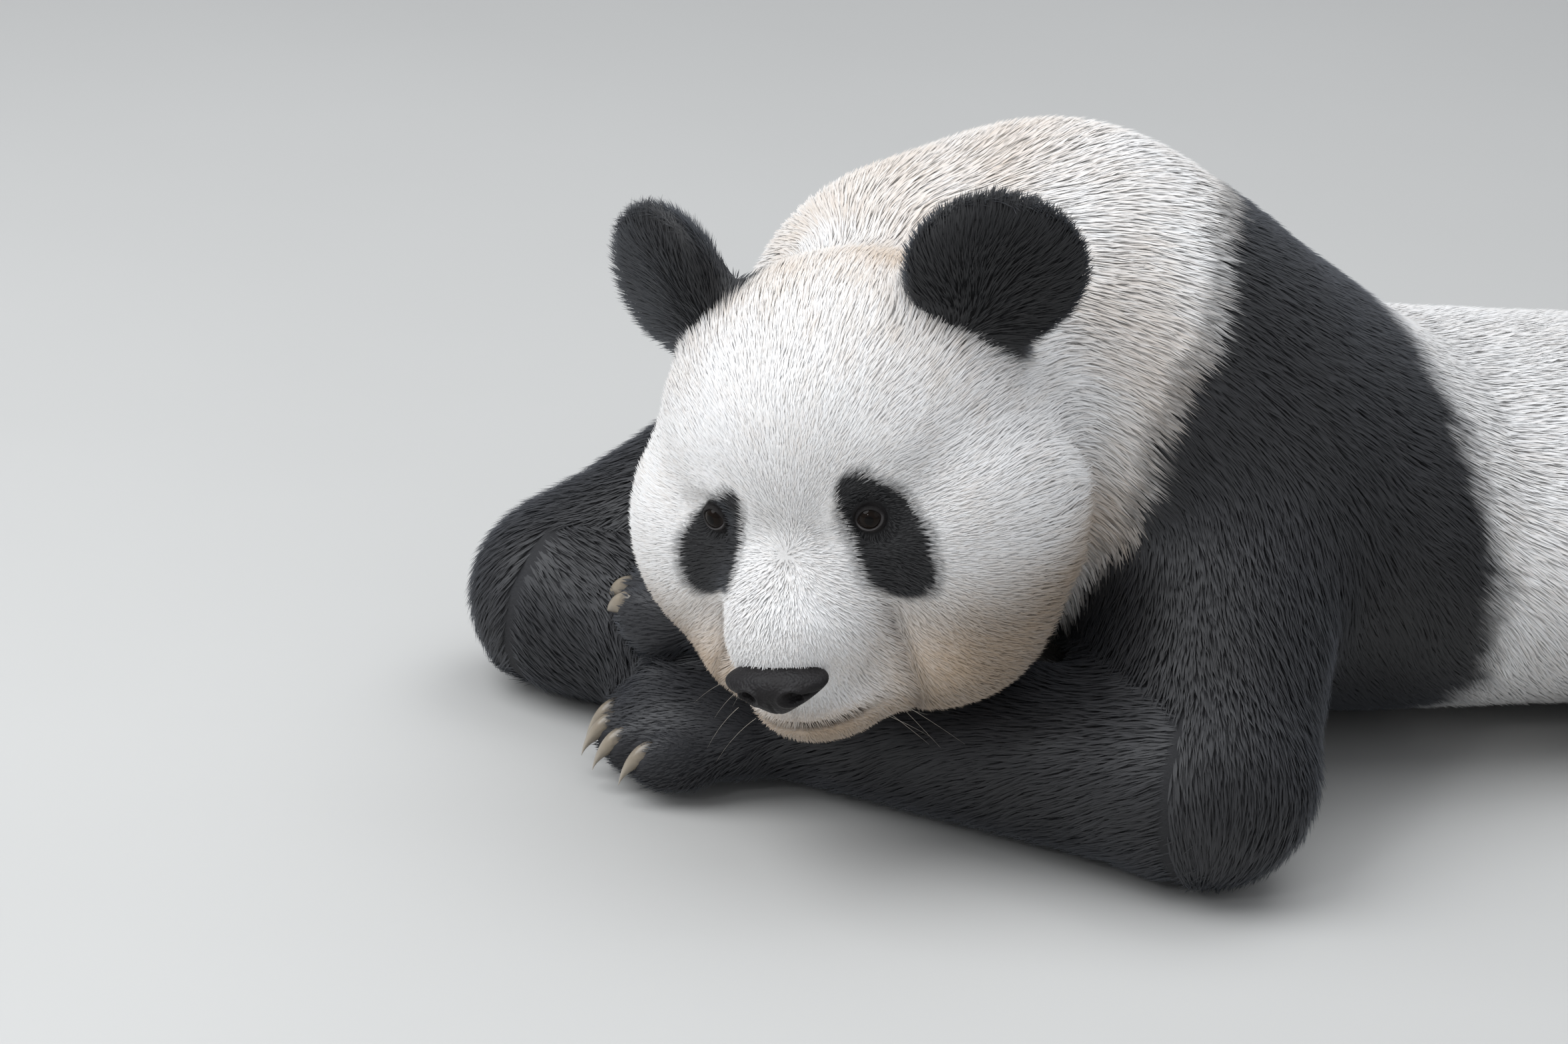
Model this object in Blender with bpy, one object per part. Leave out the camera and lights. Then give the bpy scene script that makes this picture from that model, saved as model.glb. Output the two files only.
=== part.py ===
"""Giant panda, life size, lying on its belly with its head on its folded forelegs.

Every part of the body is a closed solid whose outer surface is the tips of the coat.
The frame is +Z up with the floor at z = 0. The animal faces -Y and its left side is +X.
Its head turns to its left, and its back bends a little the same way. Each part starts as
a group of round masses that follow the muscles. A voxel remesh fuses the group, a smooth
pass settles it, and the parts made before it are then cut out of it, so that neighbours
meet with a hairline gap.
"""

from math import atan2, degrees, radians

import bmesh
import bpy
from mathutils import Euler, Matrix, Vector

# Driving sizes, in metres and degrees. An adult of about 110 kg.
GAP = 0.0004  # between neighbours
ZONE_GROW = 0.012  # how far a zone that takes a limb from the body stands off the limb's masses
HEAD_AT = (0.0, 0.0, 0.250)  # middle of the head, between the ears and the cheeks
HEAD_TURN = {"yaw": 31.3, "pitch": 14.2, "roll": 13.0}  # to its left, nose down, left ear up
SPINE = {  # centre, then half width, half length and half height, from the neck to the rump
    "nape": ((-0.080, 0.128, 0.250), (0.170, 0.125, 0.162)),
    "withers": ((-0.071, 0.238, 0.238), (0.196, 0.158, 0.193)),
    "chest": ((-0.064, 0.320, 0.189), (0.226, 0.154, 0.190)),
    "ribs": ((-0.035, 0.480, 0.1275), (0.232, 0.158, 0.1365)),
    "belly": ((0.030, 0.655, 0.121), (0.238, 0.170, 0.129)),
    "loins": ((0.125, 0.812, 0.119), (0.222, 0.150, 0.125)),
    "rump": ((0.190, 0.910, 0.121), (0.180, 0.120, 0.119)),
}
BAND = {  # the black band over the shoulders: where its two borders cross the spine
    "front": ((-0.02, 0.285, 0.30), (0.22, 0.95, -0.38)),
    "rear": ((-0.02, 0.470, 0.30), (0.25, 0.97, 0.06)),
}
COLLAR = ((0.0, 0.078, 0.0), (-0.20, 0.97, 0.15))  # where the head ends, on the head

# On the head, with x to its left, y back and z up: centre, then half sizes. Those off the
# middle are made on both sides.
SKULL = {
    "skull": ((0, 0.010, 0.022), (0.128, 0.124, 0.113)),
    "back": ((0, 0.055, -0.005), (0.122, 0.090, 0.105)),
}
FACE = {
    "forehead": ((0, -0.050, 0.036), (0.080, 0.064, 0.078)),
    "muzzle": ((0, -0.112, -0.051), (0.054, 0.066, 0.048)),
    "root of the muzzle": ((0, -0.088, -0.036), (0.064, 0.054, 0.052)),
    "jaw": ((0, -0.099, -0.098), (0.056, 0.066, 0.040)),
    "cheek": ((0.070, -0.020, -0.035), (0.084, 0.090, 0.094)),
    "jowl": ((0.048, -0.050, -0.088), (0.062, 0.074, 0.058)),
    "brow": ((0.046, -0.064, 0.044), (0.040, 0.034, 0.034)),
}
LEANING = {  # the head leans on its left cheek, which the foreleg under it pushes out
    "left jowl": ((0.068, -0.034, -0.092), (0.060, 0.072, 0.060)),
}
EYE = {"eye": ((0.053, -0.0965, 0.0155), (0.0115, 0.0115, 0.0115))}
NOSE = {
    "pad": ((0, -0.172, -0.0605), (0.034, 0.016, 0.0120)),
    "lower": ((0, -0.170, -0.0660), (0.020, 0.015, 0.0155)),
}
EAR = {
    "cup": ((0.115, 0.030, 0.1200), (0.064, 0.030, 0.055)),
    "root": ((0.088, 0.030, 0.086), (0.046, 0.030, 0.040)),
}
EAR_TILT = (0, 28, 35)

FORELEG = {  # shoulder, elbow, wrist
    "left": ((0.045, 0.275, 0.190), (0.198, 0.152, 0.070), (-0.022, 0.026, 0.050)),
    "right": ((-0.195, 0.240, 0.190), (-0.252, -0.025, 0.068), (-0.110, 0.005, 0.060)),
}
FORELEG_RADII = (0.110, 0.078, 0.054)
HINDLEG = {  # hip, knee, ankle
    "left": ((0.280, 0.805, 0.130), (0.352, 0.620, 0.086), (0.405, 0.780, 0.042)),
    "right": ((0.035, 0.945, 0.130), (-0.145, 0.850, 0.086), (-0.085, 1.005, 0.042)),
}
HINDLEG_RADII = (0.120, 0.088, 0.046)
PAWS = {  # wrist or ankle, heading of the toes (0 is -Y, + is to its left), and drop of the claws
    "forepaw_left": ((-0.055, 0.006, 0.040), -30, 0.024),
    "forepaw_right": ((-0.064, 0.012, 0.112), -70, 0.010),
    "hindpaw_left": ((0.398, 0.745, 0.038), 8, 0.022),
    "hindpaw_right": ((-0.110, 0.985, 0.038), -50, 0.022),
}
PAW = {  # on the paw, with its toes towards -Y: centre, then half sizes
    "palm": ((0, -0.045, 0.0), (0.058, 0.072, 0.039)),
    "wrist": ((0, 0.005, 0.002), (0.047, 0.050, 0.038)),
}
HIND_PAW_SCALE = 1.12
TOE_AT, TOE_SIZE = (0.0, -0.098, -0.010), (0.0160, 0.034, 0.026)  # the middle toe
TOE_PITCH, TOE_SWEEP = 0.024, 0.005  # outer toes lie further back by the square of their count
CLAW_LENGTH, CLAW_RADIUS, CLAW_TIP = 0.032, 0.0068, 0.0010
CLAW_RINGS = 4
TAIL = ((0.240, 0.985, 0.184), (0.288, 1.040, 0.092))  # root and tip
TAIL_RADII = (0.042, 0.037)

# Colours of the coat and of what is bare.
WHITE = (0.83, 0.79, 0.71)
BLACK = (0.022, 0.021, 0.022)
NOSE_BLACK = (0.018, 0.016, 0.016)
EYE_BROWN = (0.03, 0.018, 0.012)

for old in list(bpy.data.objects):
    bpy.data.objects.remove(old)

head_frame = (
    Matrix.Translation(HEAD_AT)
    @ Matrix.Rotation(radians(HEAD_TURN["yaw"]), 4, "Z")
    @ Matrix.Rotation(radians(HEAD_TURN["pitch"]), 4, "X")
    @ Matrix.Rotation(radians(-HEAD_TURN["roll"]), 4, "Y")
)


def material(name, colour, roughness):
    made = bpy.data.materials.new(name)
    made.use_nodes = True
    shader = made.node_tree.nodes["Principled BSDF"]
    shader.inputs["Base Color"].default_value = (*colour, 1.0)
    shader.inputs["Roughness"].default_value = roughness
    shader.inputs["Metallic"].default_value = 0.0
    return made


def ball(bm, centre, radii, turn=(0, 0, 0), frame=Matrix(), rings=20):
    """One ellipsoid mass. turn is in degrees, about its own centre."""
    place = Matrix.Translation(centre) @ Euler([radians(t) for t in turn]).to_matrix().to_4x4()
    size = Matrix.Diagonal((*radii, 1.0))
    bmesh.ops.create_uvsphere(
        bm, u_segments=rings * 3 // 2, v_segments=rings, radius=1.0, matrix=frame @ place @ size)


def limb(bm, start, end, start_radius, end_radius, flat=1.0, frame=Matrix()):
    """A tapered mass with round ends, squeezed from above by flat."""
    start, end = Vector(start), Vector(end)
    along = (end - start).normalized()
    upward = (Vector((0, 0, 1)) - along * along.z).normalized()
    across = upward.cross(along)
    axes = Matrix((across, upward, along)).transposed().to_4x4()
    for centre, radius in ((start, start_radius), (end, end_radius)):
        size = Matrix.Diagonal((radius, radius * flat, radius, 1.0))
        bmesh.ops.create_uvsphere(
            bm, u_segments=24, v_segments=16, radius=1.0,
            matrix=frame @ Matrix.Translation(centre) @ axes @ size)
    bmesh.ops.create_cone(
        bm, cap_ends=True, segments=24, radius1=start_radius, radius2=end_radius,
        depth=(end - start).length,
        matrix=frame @ Matrix.Translation((start + end) / 2) @ axes @ Matrix.Diagonal((1, flat, 1, 1)))


def apply_modifiers(obj):
    graph = bpy.context.evaluated_depsgraph_get()
    mesh = bpy.data.meshes.new_from_object(obj.evaluated_get(graph))
    obj.modifiers.clear()
    obj.data = mesh


def new_object(name, bm):
    mesh = bpy.data.meshes.new(name)
    bm.to_mesh(mesh)
    bm.free()
    obj = bpy.data.objects.new(name, mesh)
    bpy.context.scene.collection.objects.link(obj)
    return obj


def fused(name, add_masses, triangles, voxel=0.011, smooth=8):
    """One closed solid from the masses that add_masses makes, with about so many triangles."""
    bm = bmesh.new()
    add_masses(bm)
    obj = new_object(name, bm)
    remesh = obj.modifiers.new("fuse", "REMESH")
    remesh.mode = "VOXEL"
    remesh.voxel_size = voxel
    settle = obj.modifiers.new("settle", "SMOOTH")
    settle.factor = 0.5
    settle.iterations = smooth
    apply_modifiers(obj)
    count = sum(len(p.vertices) - 2 for p in obj.data.polygons)
    thin = obj.modifiers.new("thin", "DECIMATE")
    thin.ratio = min(1.0, triangles / count)
    apply_modifiers(obj)
    return obj


def keep_largest_body(obj):
    """Drops the crumbs that a cut can leave."""
    bm = bmesh.new()
    bm.from_mesh(obj.data)
    todo, bodies = set(bm.verts), []
    while todo:
        front, body = [todo.pop()], []
        while front:
            vert = front.pop()
            body.append(vert)
            for edge in vert.link_edges:
                other = edge.other_vert(vert)
                if other in todo:
                    todo.remove(other)
                    front.append(other)
        bodies.append(body)
    bodies.sort(key=len, reverse=True)
    for body in bodies[1:]:
        bmesh.ops.delete(bm, geom=body, context="VERTS")
    bm.to_mesh(obj.data)
    bm.free()


def boolean(obj, other, operation, grow=0.0):
    """Cuts or joins other, grown by so much, and leaves other as it was."""
    tool = bpy.data.objects.new(other.name + "_tool", other.data.copy())
    bpy.context.scene.collection.objects.link(tool)
    tool.hide_render = True
    tool.display_type = "WIRE"
    if grow:
        swell = tool.modifiers.new("swell", "DISPLACE")
        swell.strength = grow
        swell.mid_level = 0.0
        apply_modifiers(tool)
    step = obj.modifiers.new("step", "BOOLEAN")
    step.operation = operation
    step.object = tool
    apply_modifiers(obj)
    bpy.data.objects.remove(tool)


def cut_by(obj, others):
    for other in others:
        boolean(obj, other, "DIFFERENCE", GAP)
    keep_largest_body(obj)


def slice_off(obj, point, normal):
    """Removes what lies against the normal, and closes the cut with a flat face."""
    bm = bmesh.new()
    bm.from_mesh(obj.data)
    point, normal = Vector(point), Vector(normal).normalized()
    if any((v.co - point).dot(normal) < 0.0 for v in bm.verts):
        made = bmesh.ops.bisect_plane(
            bm, geom=bm.verts[:] + bm.edges[:] + bm.faces[:], dist=1e-6,
            plane_co=point, plane_no=normal, clear_inner=True)
        rim = [e for e in made["geom_cut"] if isinstance(e, bmesh.types.BMEdge)]
        bmesh.ops.holes_fill(bm, edges=rim, sides=0)
    bmesh.ops.triangulate(bm, faces=bm.faces[:])
    bm.to_mesh(obj.data)
    bm.free()


def copy_of(obj, name):
    made = bpy.data.objects.new(name, obj.data.copy())
    bpy.context.scene.collection.objects.link(made)
    return made


def mirrored(values, side):
    return (values[0] * side, *values[1:])


def masses_on(bm, frame, masses, side=1, turn=(0, 0, 0), rings=20):
    """The masses of one table, mirrored where side is -1."""
    for centre, half in masses.values():
        ball(bm, mirrored(centre, side), half, turn, frame, rings)


def head_masses(bm):
    ball(bm, *SPINE["nape"])
    masses_on(bm, head_frame, SKULL)
    masses_on(bm, head_frame, LEANING)
    for side in (-1, 1):
        masses_on(bm, head_frame, FACE, side)


def ear_masses(bm, side):
    tilt = (EAR_TILT[0], side * EAR_TILT[1], side * EAR_TILT[2])
    masses_on(bm, head_frame, EAR, side, tilt)


def back_masses(bm):
    """Masses along the spine, each turned the way the spine runs there."""
    parts = list(SPINE.values())
    for (here, size), (there, next_size) in zip(parts, parts[1:]):
        run = Vector(there) - Vector(here)
        turn = (0, 0, -degrees(atan2(run.x, run.y)))
        for step in range(4 if there is parts[-1][0] else 3):
            part = step / 3
            ball(bm, Vector(here).lerp(there, part), Vector(size).lerp(next_size, part), turn, rings=16)


def leg_masses(bm, points, radii, grow=0.0):
    for (here, radius), (there, next_radius) in zip(zip(points, radii), zip(points[1:], radii[1:])):
        limb(bm, here, there, radius + grow, next_radius + grow, 0.94)


def body_masses(bm):
    """The whole body is fused first and then divided, so that its parts flow into each other."""
    back_masses(bm)
    masses_on(bm, head_frame, SKULL)
    for points in FORELEG.values():
        leg_masses(bm, points, FORELEG_RADII)
    for points in HINDLEG.values():
        leg_masses(bm, points, HINDLEG_RADII)
    limb(bm, *TAIL, *TAIL_RADII)


def between(points):
    """The plane that halves the angle of a leg at its middle joint."""
    first, joint, last = (Vector(p) for p in points)
    return joint, ((first - joint).normalized() - (last - joint).normalized()).normalized()


def take_part(body, name, add_masses):
    """Moves what lies within the masses from the body into an object of its own."""
    zone = fused("zone", add_masses, 150, smooth=6)
    part = copy_of(body, name)
    boolean(part, zone, "INTERSECT")
    keep_largest_body(part)
    boolean(body, zone, "DIFFERENCE", GAP)
    bpy.data.objects.remove(zone)
    return part


def claw(bm, toe, drop, frame):
    """A thin four-sided horn that curves down from its toe to a point."""
    root = TOE_AT[1] - TOE_SIZE[1] * 0.6 + TOE_SWEEP * toe * toe
    rings = []
    for step in range(CLAW_RINGS):
        part = step / (CLAW_RINGS - 1)
        radius = CLAW_RADIUS * (1 - part ** 1.6) + CLAW_TIP
        reach = root - CLAW_LENGTH * part * (1 - 0.4 * part)
        height = -0.004 - drop * part ** 1.6
        rings.append([
            bm.verts.new(frame @ Vector((toe * TOE_PITCH + radius * across, reach, height + radius * up)))
            for across, up in ((0.75, 0), (0, 1), (-0.75, 0), (0, -1))])
    bm.faces.new(rings[0])
    bm.faces.new(reversed(rings[-1]))
    for low, high in zip(rings, rings[1:]):
        for k in range(len(low)):
            after = (k + 1) % len(low)
            bm.faces.new((low[k], high[k], high[after], low[after]))
    bmesh.ops.recalc_face_normals(bm, faces=bm.faces[:])


def paw(name):
    wrist, heading, drop = PAWS[name]
    frame = Matrix.Translation(wrist) @ Matrix.Rotation(radians(heading), 4, "Z")
    if name.startswith("hind"):
        frame = frame @ Matrix.Diagonal((1, HIND_PAW_SCALE, 1, 1))

    def masses(bm):
        masses_on(bm, frame, PAW, rings=12)
        for toe in range(-2, 3):
            centre = (toe * TOE_PITCH, TOE_AT[1] + TOE_SWEEP * toe * toe, TOE_AT[2])
            ball(bm, centre, TOE_SIZE, frame=frame, rings=12)

    obj = fused(name, masses, 200, voxel=0.006, smooth=2)
    for toe in range(-2, 3):
        bm = bmesh.new()
        claw(bm, toe, drop, frame)
        horn = new_object(f"{name}_claw", bm)
        boolean(obj, horn, "UNION")
        bpy.data.objects.remove(horn)
    return obj


white, black, bare_nose, wet_eye = (WHITE, 0.85), (BLACK, 0.8), (NOSE_BLACK, 0.45), (EYE_BROWN, 0.1)
looks = {}

head = fused("head", head_masses, 1760, voxel=0.008, smooth=5)
collar = [head_frame @ Vector(COLLAR[0]), head_frame.to_3x3() @ Vector(COLLAR[1])]
slice_off(head, collar[0] - collar[1] * GAP, -collar[1])
looks[head] = white
for side, name in ((1, "left"), (-1, "right")):
    bm = bmesh.new()
    masses_on(bm, head_frame, EYE, side, rings=7)
    eye = new_object(f"eye_{name}", bm)
    looks[eye] = wet_eye
    cut_by(head, [eye])
nose = fused("nose", lambda bm: masses_on(bm, head_frame, NOSE), 140, voxel=0.003, smooth=3)
looks[nose] = bare_nose
cut_by(head, [nose])

body = fused("body", body_masses, 1810, voxel=0.013, smooth=12)
tail = take_part(body, "tail", lambda bm: limb(bm, *TAIL, *(r + ZONE_GROW for r in TAIL_RADII)))
looks[tail] = white
for leg, sides, radii in (("foreleg", FORELEG, FORELEG_RADII), ("hindleg", HINDLEG, HINDLEG_RADII)):
    parts = []
    for side, points in sides.items():
        upper = take_part(body, f"{leg}_upper_{side}", lambda bm: leg_masses(bm, points, radii, ZONE_GROW))
        lower = copy_of(upper, f"{leg}_lower_{side}")
        joint, normal = between(points)
        slice_off(upper, joint + normal * GAP / 2, normal)
        slice_off(lower, joint - normal * GAP / 2, -normal)
        parts += [upper, lower]
    for obj in parts:
        keep_largest_body(obj)
        if leg == "foreleg":
            cut_by(obj, [head])
    for side in sides:
        foot = paw(leg.replace("leg", "paw") + "_" + side)
        cut_by(foot, parts + ([head] if leg == "foreleg" else []))
        parts.append(foot)
    looks.update({obj: black for obj in parts})
slice_off(body, collar[0] + collar[1] * GAP, collar[1])
keep_largest_body(body)
neck, shoulders, trunk = (copy_of(body, n) for n in ("neck", "shoulders", "trunk"))
bpy.data.objects.remove(body)
for obj, border, sign in (
        (neck, "front", -1), (shoulders, "front", 1), (shoulders, "rear", -1), (trunk, "rear", 1)):
    point, normal = BAND[border]
    normal = Vector(normal).normalized() * sign
    slice_off(obj, Vector(point) + normal * GAP / 2, normal)
    keep_largest_body(obj)
looks.update({neck: white, shoulders: black, trunk: white})

for side, name in ((1, "left"), (-1, "right")):
    ear = fused(f"ear_{name}", lambda bm: ear_masses(bm, side), 160, voxel=0.007, smooth=3)
    cut_by(ear, [head, neck])
    looks[ear] = black

for obj, (colour, roughness) in looks.items():
    slice_off(obj, (0, 0, 0), (0, 0, 1))
    obj.data.materials.clear()
    obj.data.materials.append(material(obj.name, colour, roughness))
    obj.data.shade_smooth()

# The origin is on the floor, under the middle of the animal's box.
points = [vert.co for obj in looks for vert in obj.data.vertices]
middle = [(min(p[axis] for p in points) + max(p[axis] for p in points)) / 2 for axis in (0, 1)]
for obj in looks:
    obj.location = (-middle[0], -middle[1], 0)
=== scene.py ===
import math
from functools import reduce

import bmesh
import bpy
import numpy as np
from mathutils import Euler, Matrix, Vector


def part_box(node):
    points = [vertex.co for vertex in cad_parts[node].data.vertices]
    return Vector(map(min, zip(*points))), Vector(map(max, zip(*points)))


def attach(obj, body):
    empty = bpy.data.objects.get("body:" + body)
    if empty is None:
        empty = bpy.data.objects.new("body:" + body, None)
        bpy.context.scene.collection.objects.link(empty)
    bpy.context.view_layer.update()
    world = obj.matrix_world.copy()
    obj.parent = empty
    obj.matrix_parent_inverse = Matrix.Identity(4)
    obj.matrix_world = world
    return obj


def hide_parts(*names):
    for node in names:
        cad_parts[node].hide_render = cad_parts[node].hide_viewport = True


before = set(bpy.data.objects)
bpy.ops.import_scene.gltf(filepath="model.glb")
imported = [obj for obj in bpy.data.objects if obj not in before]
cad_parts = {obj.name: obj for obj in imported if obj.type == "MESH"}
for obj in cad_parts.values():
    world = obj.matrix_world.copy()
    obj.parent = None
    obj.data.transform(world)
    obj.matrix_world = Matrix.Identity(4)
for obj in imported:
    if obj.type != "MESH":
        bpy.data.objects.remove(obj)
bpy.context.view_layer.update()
print("frame loaded,", len(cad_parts), "nodes")

# Life-size giant panda on its belly, head on its folded forelegs. +X is its left, +Y runs to the rump.
# Its flesh is a field of round masses; the skin is the level of that field that lies under the
# coat, and every tuft of the coat grows from the skin.

poseSettings = {
    "headAt": (0.0, 0.0, 0.250), "yaw": 31.3, "pitch": 14.2, "roll": 13.0,
    "eyeAt": (0.053, -0.0965, 0.0155),
}
headTurn = (Matrix.Rotation(math.radians(poseSettings["yaw"]), 3, "Z")
            @ Matrix.Rotation(math.radians(poseSettings["pitch"]), 3, "X")
            @ Matrix.Rotation(math.radians(-poseSettings["roll"]), 3, "Y"))
headAxes = np.array(headTurn)
eyeLow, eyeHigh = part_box("eye_left")
headOrigin = np.array((eyeLow + eyeHigh) / 2 - headTurn @ Vector(poseSettings["eyeAt"]))
placeShift = headOrigin - np.array(poseSettings["headAt"])  # from the places given below to the world

headBalls = {  # centre and half sizes in the head's own frame: x to its left, y back, z up
    "skull": ((0, 0.010, 0.022), (0.128, 0.124, 0.113)),
    "back": ((0, 0.055, -0.005), (0.122, 0.090, 0.105)),
    "forehead": ((0, -0.050, 0.036), (0.080, 0.064, 0.078)),
    "muzzle": ((0, -0.112, -0.051), (0.054, 0.066, 0.048)),
    "muzzleRoot": ((0, -0.088, -0.036), (0.064, 0.054, 0.052)),
    "jaw": ((0, -0.099, -0.098), (0.056, 0.066, 0.040)),
    "cheek": ((0.070, -0.020, -0.035), (0.084, 0.090, 0.094)),
    "jowl": ((0.048, -0.050, -0.088), (0.062, 0.074, 0.058)),
    "brow": ((0.046, -0.064, 0.044), (0.040, 0.034, 0.034)),
    "leftJowl": ((0.068, -0.034, -0.092), (0.060, 0.072, 0.060)),
}
earSettings = {
    "at": (0.115, 0.030, 0.120), "size": (0.064, 0.030, 0.055), "tilt": (0, 28, 35),
    "rootAt": (0.088, 0.030, 0.086), "rootSize": (0.046, 0.030, 0.040), "cup": 0.008,
    "cupHalf": 0.62,
}
earSides = ((1, "earLeft"), (-1, "earRight"))
spineBalls = [  # centre, then half width, length and height, from the neck to the rump
    ((-0.080, 0.128, 0.250), (0.170, 0.125, 0.162)), ((-0.071, 0.238, 0.238), (0.196, 0.158, 0.193)),
    ((-0.064, 0.320, 0.189), (0.226, 0.154, 0.190)), ((-0.035, 0.480, 0.1275), (0.232, 0.158, 0.1365)),
    ((0.030, 0.655, 0.121), (0.238, 0.170, 0.129)), ((0.125, 0.812, 0.119), (0.222, 0.150, 0.125)),
    ((0.190, 0.910, 0.121), (0.180, 0.120, 0.119)),
]
limbSettings = {  # joints from the body outwards, and the radius at each
    "forelegLeft": (((0.045, 0.275, 0.190), (0.198, 0.152, 0.070), (-0.022, 0.026, 0.050)),
                    (0.110, 0.078, 0.054)),
    "forelegRight": (((-0.195, 0.240, 0.190), (-0.252, -0.025, 0.068), (-0.110, 0.005, 0.060)),
                     (0.110, 0.078, 0.054)),
    "hindlegLeft": (((0.280, 0.805, 0.130), (0.352, 0.620, 0.086), (0.405, 0.780, 0.042)),
                    (0.120, 0.088, 0.046)),
    "hindlegRight": (((0.035, 0.945, 0.130), (-0.145, 0.850, 0.086), (-0.085, 1.005, 0.042)),
                     (0.120, 0.088, 0.046)),
    "tail": (((0.240, 0.985, 0.184), (0.288, 1.040, 0.092)), (0.042, 0.037)),
}
limbFlatness = 0.94  # height of a limb over its width
pawSettings = {
    "places": {  # wrist or ankle, heading in degrees, stretch along the paw, and drop of its claws
        "forepawLeft": ((-0.055, 0.006, 0.040), -30, 1.0, 0.024),
        "forepawRight": ((-0.064, 0.012, 0.112), -70, 1.0, 0.010),
        "hindpawLeft": ((0.398, 0.745, 0.038), 8, 1.12, 0.022),
        "hindpawRight": ((-0.110, 0.985, 0.038), -50, 1.12, 0.022)},
    "palm": ((0, -0.045, 0.0), (0.058, 0.072, 0.039)),
    "wrist": ((0, 0.005, 0.002), (0.047, 0.050, 0.038)),
    "toe": (0.0160, 0.034, 0.026), "toePitch": 0.024, "toeReach": -0.098, "toeDrop": -0.010,
    "toeCurve": 0.005,
}
bandSettings = {  # where the two borders of the black band cross the back, and the way each faces
    "front": ((-0.02, 0.296, 0.30), (0.22, 0.95, -0.38)),
    "rear": ((-0.02, 0.470, 0.30), (0.25, 0.97, 0.06)), "middle": -0.06, "flat": 0.03,
    "flare": 0.56,  # the front border runs back down the flanks
}
coatSettings = {  # for each part of the body: depth, length, spacing and width of its tufts
    "muzzle": (0.0022, 0.0080, 0.00145, 0.0008),
    "crown": (0.0036, 0.0190, 0.00190, 0.0011),
    "ear": (0.0052, 0.0150, 0.00185, 0.0009),
    "spine": (0.0032, 0.0230, 0.00242, 0.0014),
    "tail": (0.0068, 0.0380, 0.00240, 0.0015),
    "leg": (0.0048, 0.0210, 0.00252, 0.0014),
    "paw": (0.0032, 0.0110, 0.00211, 0.0011),
    "floorLevel": 0.005,
}
filletSettings = {  # how wide the corners between joined masses are filled
    "head": 0.014, "ear": 0.012, "spine": 0.008, "paw": 0.007, "limb": 0.020, "neck": 0.030,
    "earRoot": 0.010, "tailRoot": 0.020, "ankle": 0.016, "floor": 0.016,
    "legRoot": 0.034, "lessUnderHead": 0.028,
}
drawnIn = {  # how far the fused solids lie inside the plain field of each part
    "head": 0.0018, "earLeft": 0.0012, "earRight": 0.0012, "spine": 0.0055, "tail": 0.003,
    "forelegLeft": 0.0042, "forelegRight": 0.0042, "hindlegLeft": 0.0050, "hindlegRight": 0.0050,
    "forepawLeft": 0.0014, "forepawRight": 0.0014, "hindpawLeft": 0.0014, "hindpawRight": 0.0014,
}


def eased(value, low, high):
    # 0 below low, 1 above high, and a smooth step between
    part = np.clip((value - low) / (high - low), 0, 1)
    return part * part * (3 - 2 * part)


def hump(value, width):
    # 1 where value is 0, falling to almost nothing at twice the width on either side
    return np.exp(-(value / width) ** 2)


def unit(vectors):
    return vectors / np.maximum(np.linalg.norm(vectors, axis=-1, keepdims=True), 1e-12)


def merged(one, other, soft):
    # the lesser of two fields, with the corner between them filled over a width of soft
    close = np.maximum(soft - np.abs(one - other), 0) / soft
    return np.minimum(one, other) - close * close * soft / 4


def mergedAll(fields, soft):
    # any number of fields merged, one after another
    return reduce(lambda one, other: merged(one, other, soft), fields)


def toHead(points):
    # from the world into the head's own frame
    return (points - headOrigin) @ headAxes


def offLine(points, here, there):
    # the share of the way from here to there beside each point, and how the point lies off the line
    along = there - here
    part = np.clip(((points - here) @ along) / (along @ along), 0, 1)
    return part, points - here - part[:, None] * along


def ballField(points, centre, radii, axes=None):
    # how many of its own radii a point lies out, less 1, divided by how steeply that count rises
    # there, which is close to the distance from the ellipsoid
    local = points - np.asarray(centre, float)
    if axes is not None:
        local = local @ axes
    radii = np.asarray(radii, float)
    scaled = np.linalg.norm(local / radii, axis=1)
    steep = np.linalg.norm(local / radii ** 2, axis=1)
    return scaled * (scaled - 1) / np.maximum(steep, 1e-9)


def limbField(points, joints, radii):
    # distance from a line of joints less the radius, which runs evenly from joint to joint
    rods = []
    for here, there, wide, narrow in zip(joints, joints[1:], radii, radii[1:]):
        part, off = offLine(points, np.array(here), np.array(there))
        far = np.linalg.norm(off * (1, 1, 1 / limbFlatness), axis=1)
        rods.append(far - (wide + (narrow - wide) * part))
    return mergedAll(rods, filletSettings["limb"])


def spineSteps(count=4):
    # the masses of the back, with evenly mixed ones between, each turned the way the back runs
    steps = []
    for (here, size), (there, nextSize) in zip(spineBalls, spineBalls[1:]):
        run = np.array(there) - np.array(here)
        turn = Matrix.Rotation(-math.atan2(run[0], run[1]), 3, "Z")
        last = there == spineBalls[-1][0]
        for part in np.arange(count + last) / count:
            steps.append((np.array(here) * (1 - part) + np.array(there) * part,
                          np.array(size) * (1 - part) + np.array(nextSize) * part, np.array(turn)))
    return steps


def pawFrame(name):
    # where a paw's wrist or ankle is, how the paw is turned, and its stretch
    place, heading, stretch, _ = pawSettings["places"][name]
    turn = np.array(Matrix.Rotation(math.radians(heading), 3, "Z"))
    return np.array(place), turn, np.array((1.0, stretch, 1.0))


def headMasses():
    # the masses of the head, those off the middle on both sides but for the jowl it leans on
    for name, (centre, radii) in headBalls.items():
        for side in ((1,) if name == "leftJowl" or not centre[0] else (-1, 1)):
            yield np.array(centre) * (side, 1, 1), np.array(radii)


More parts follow.
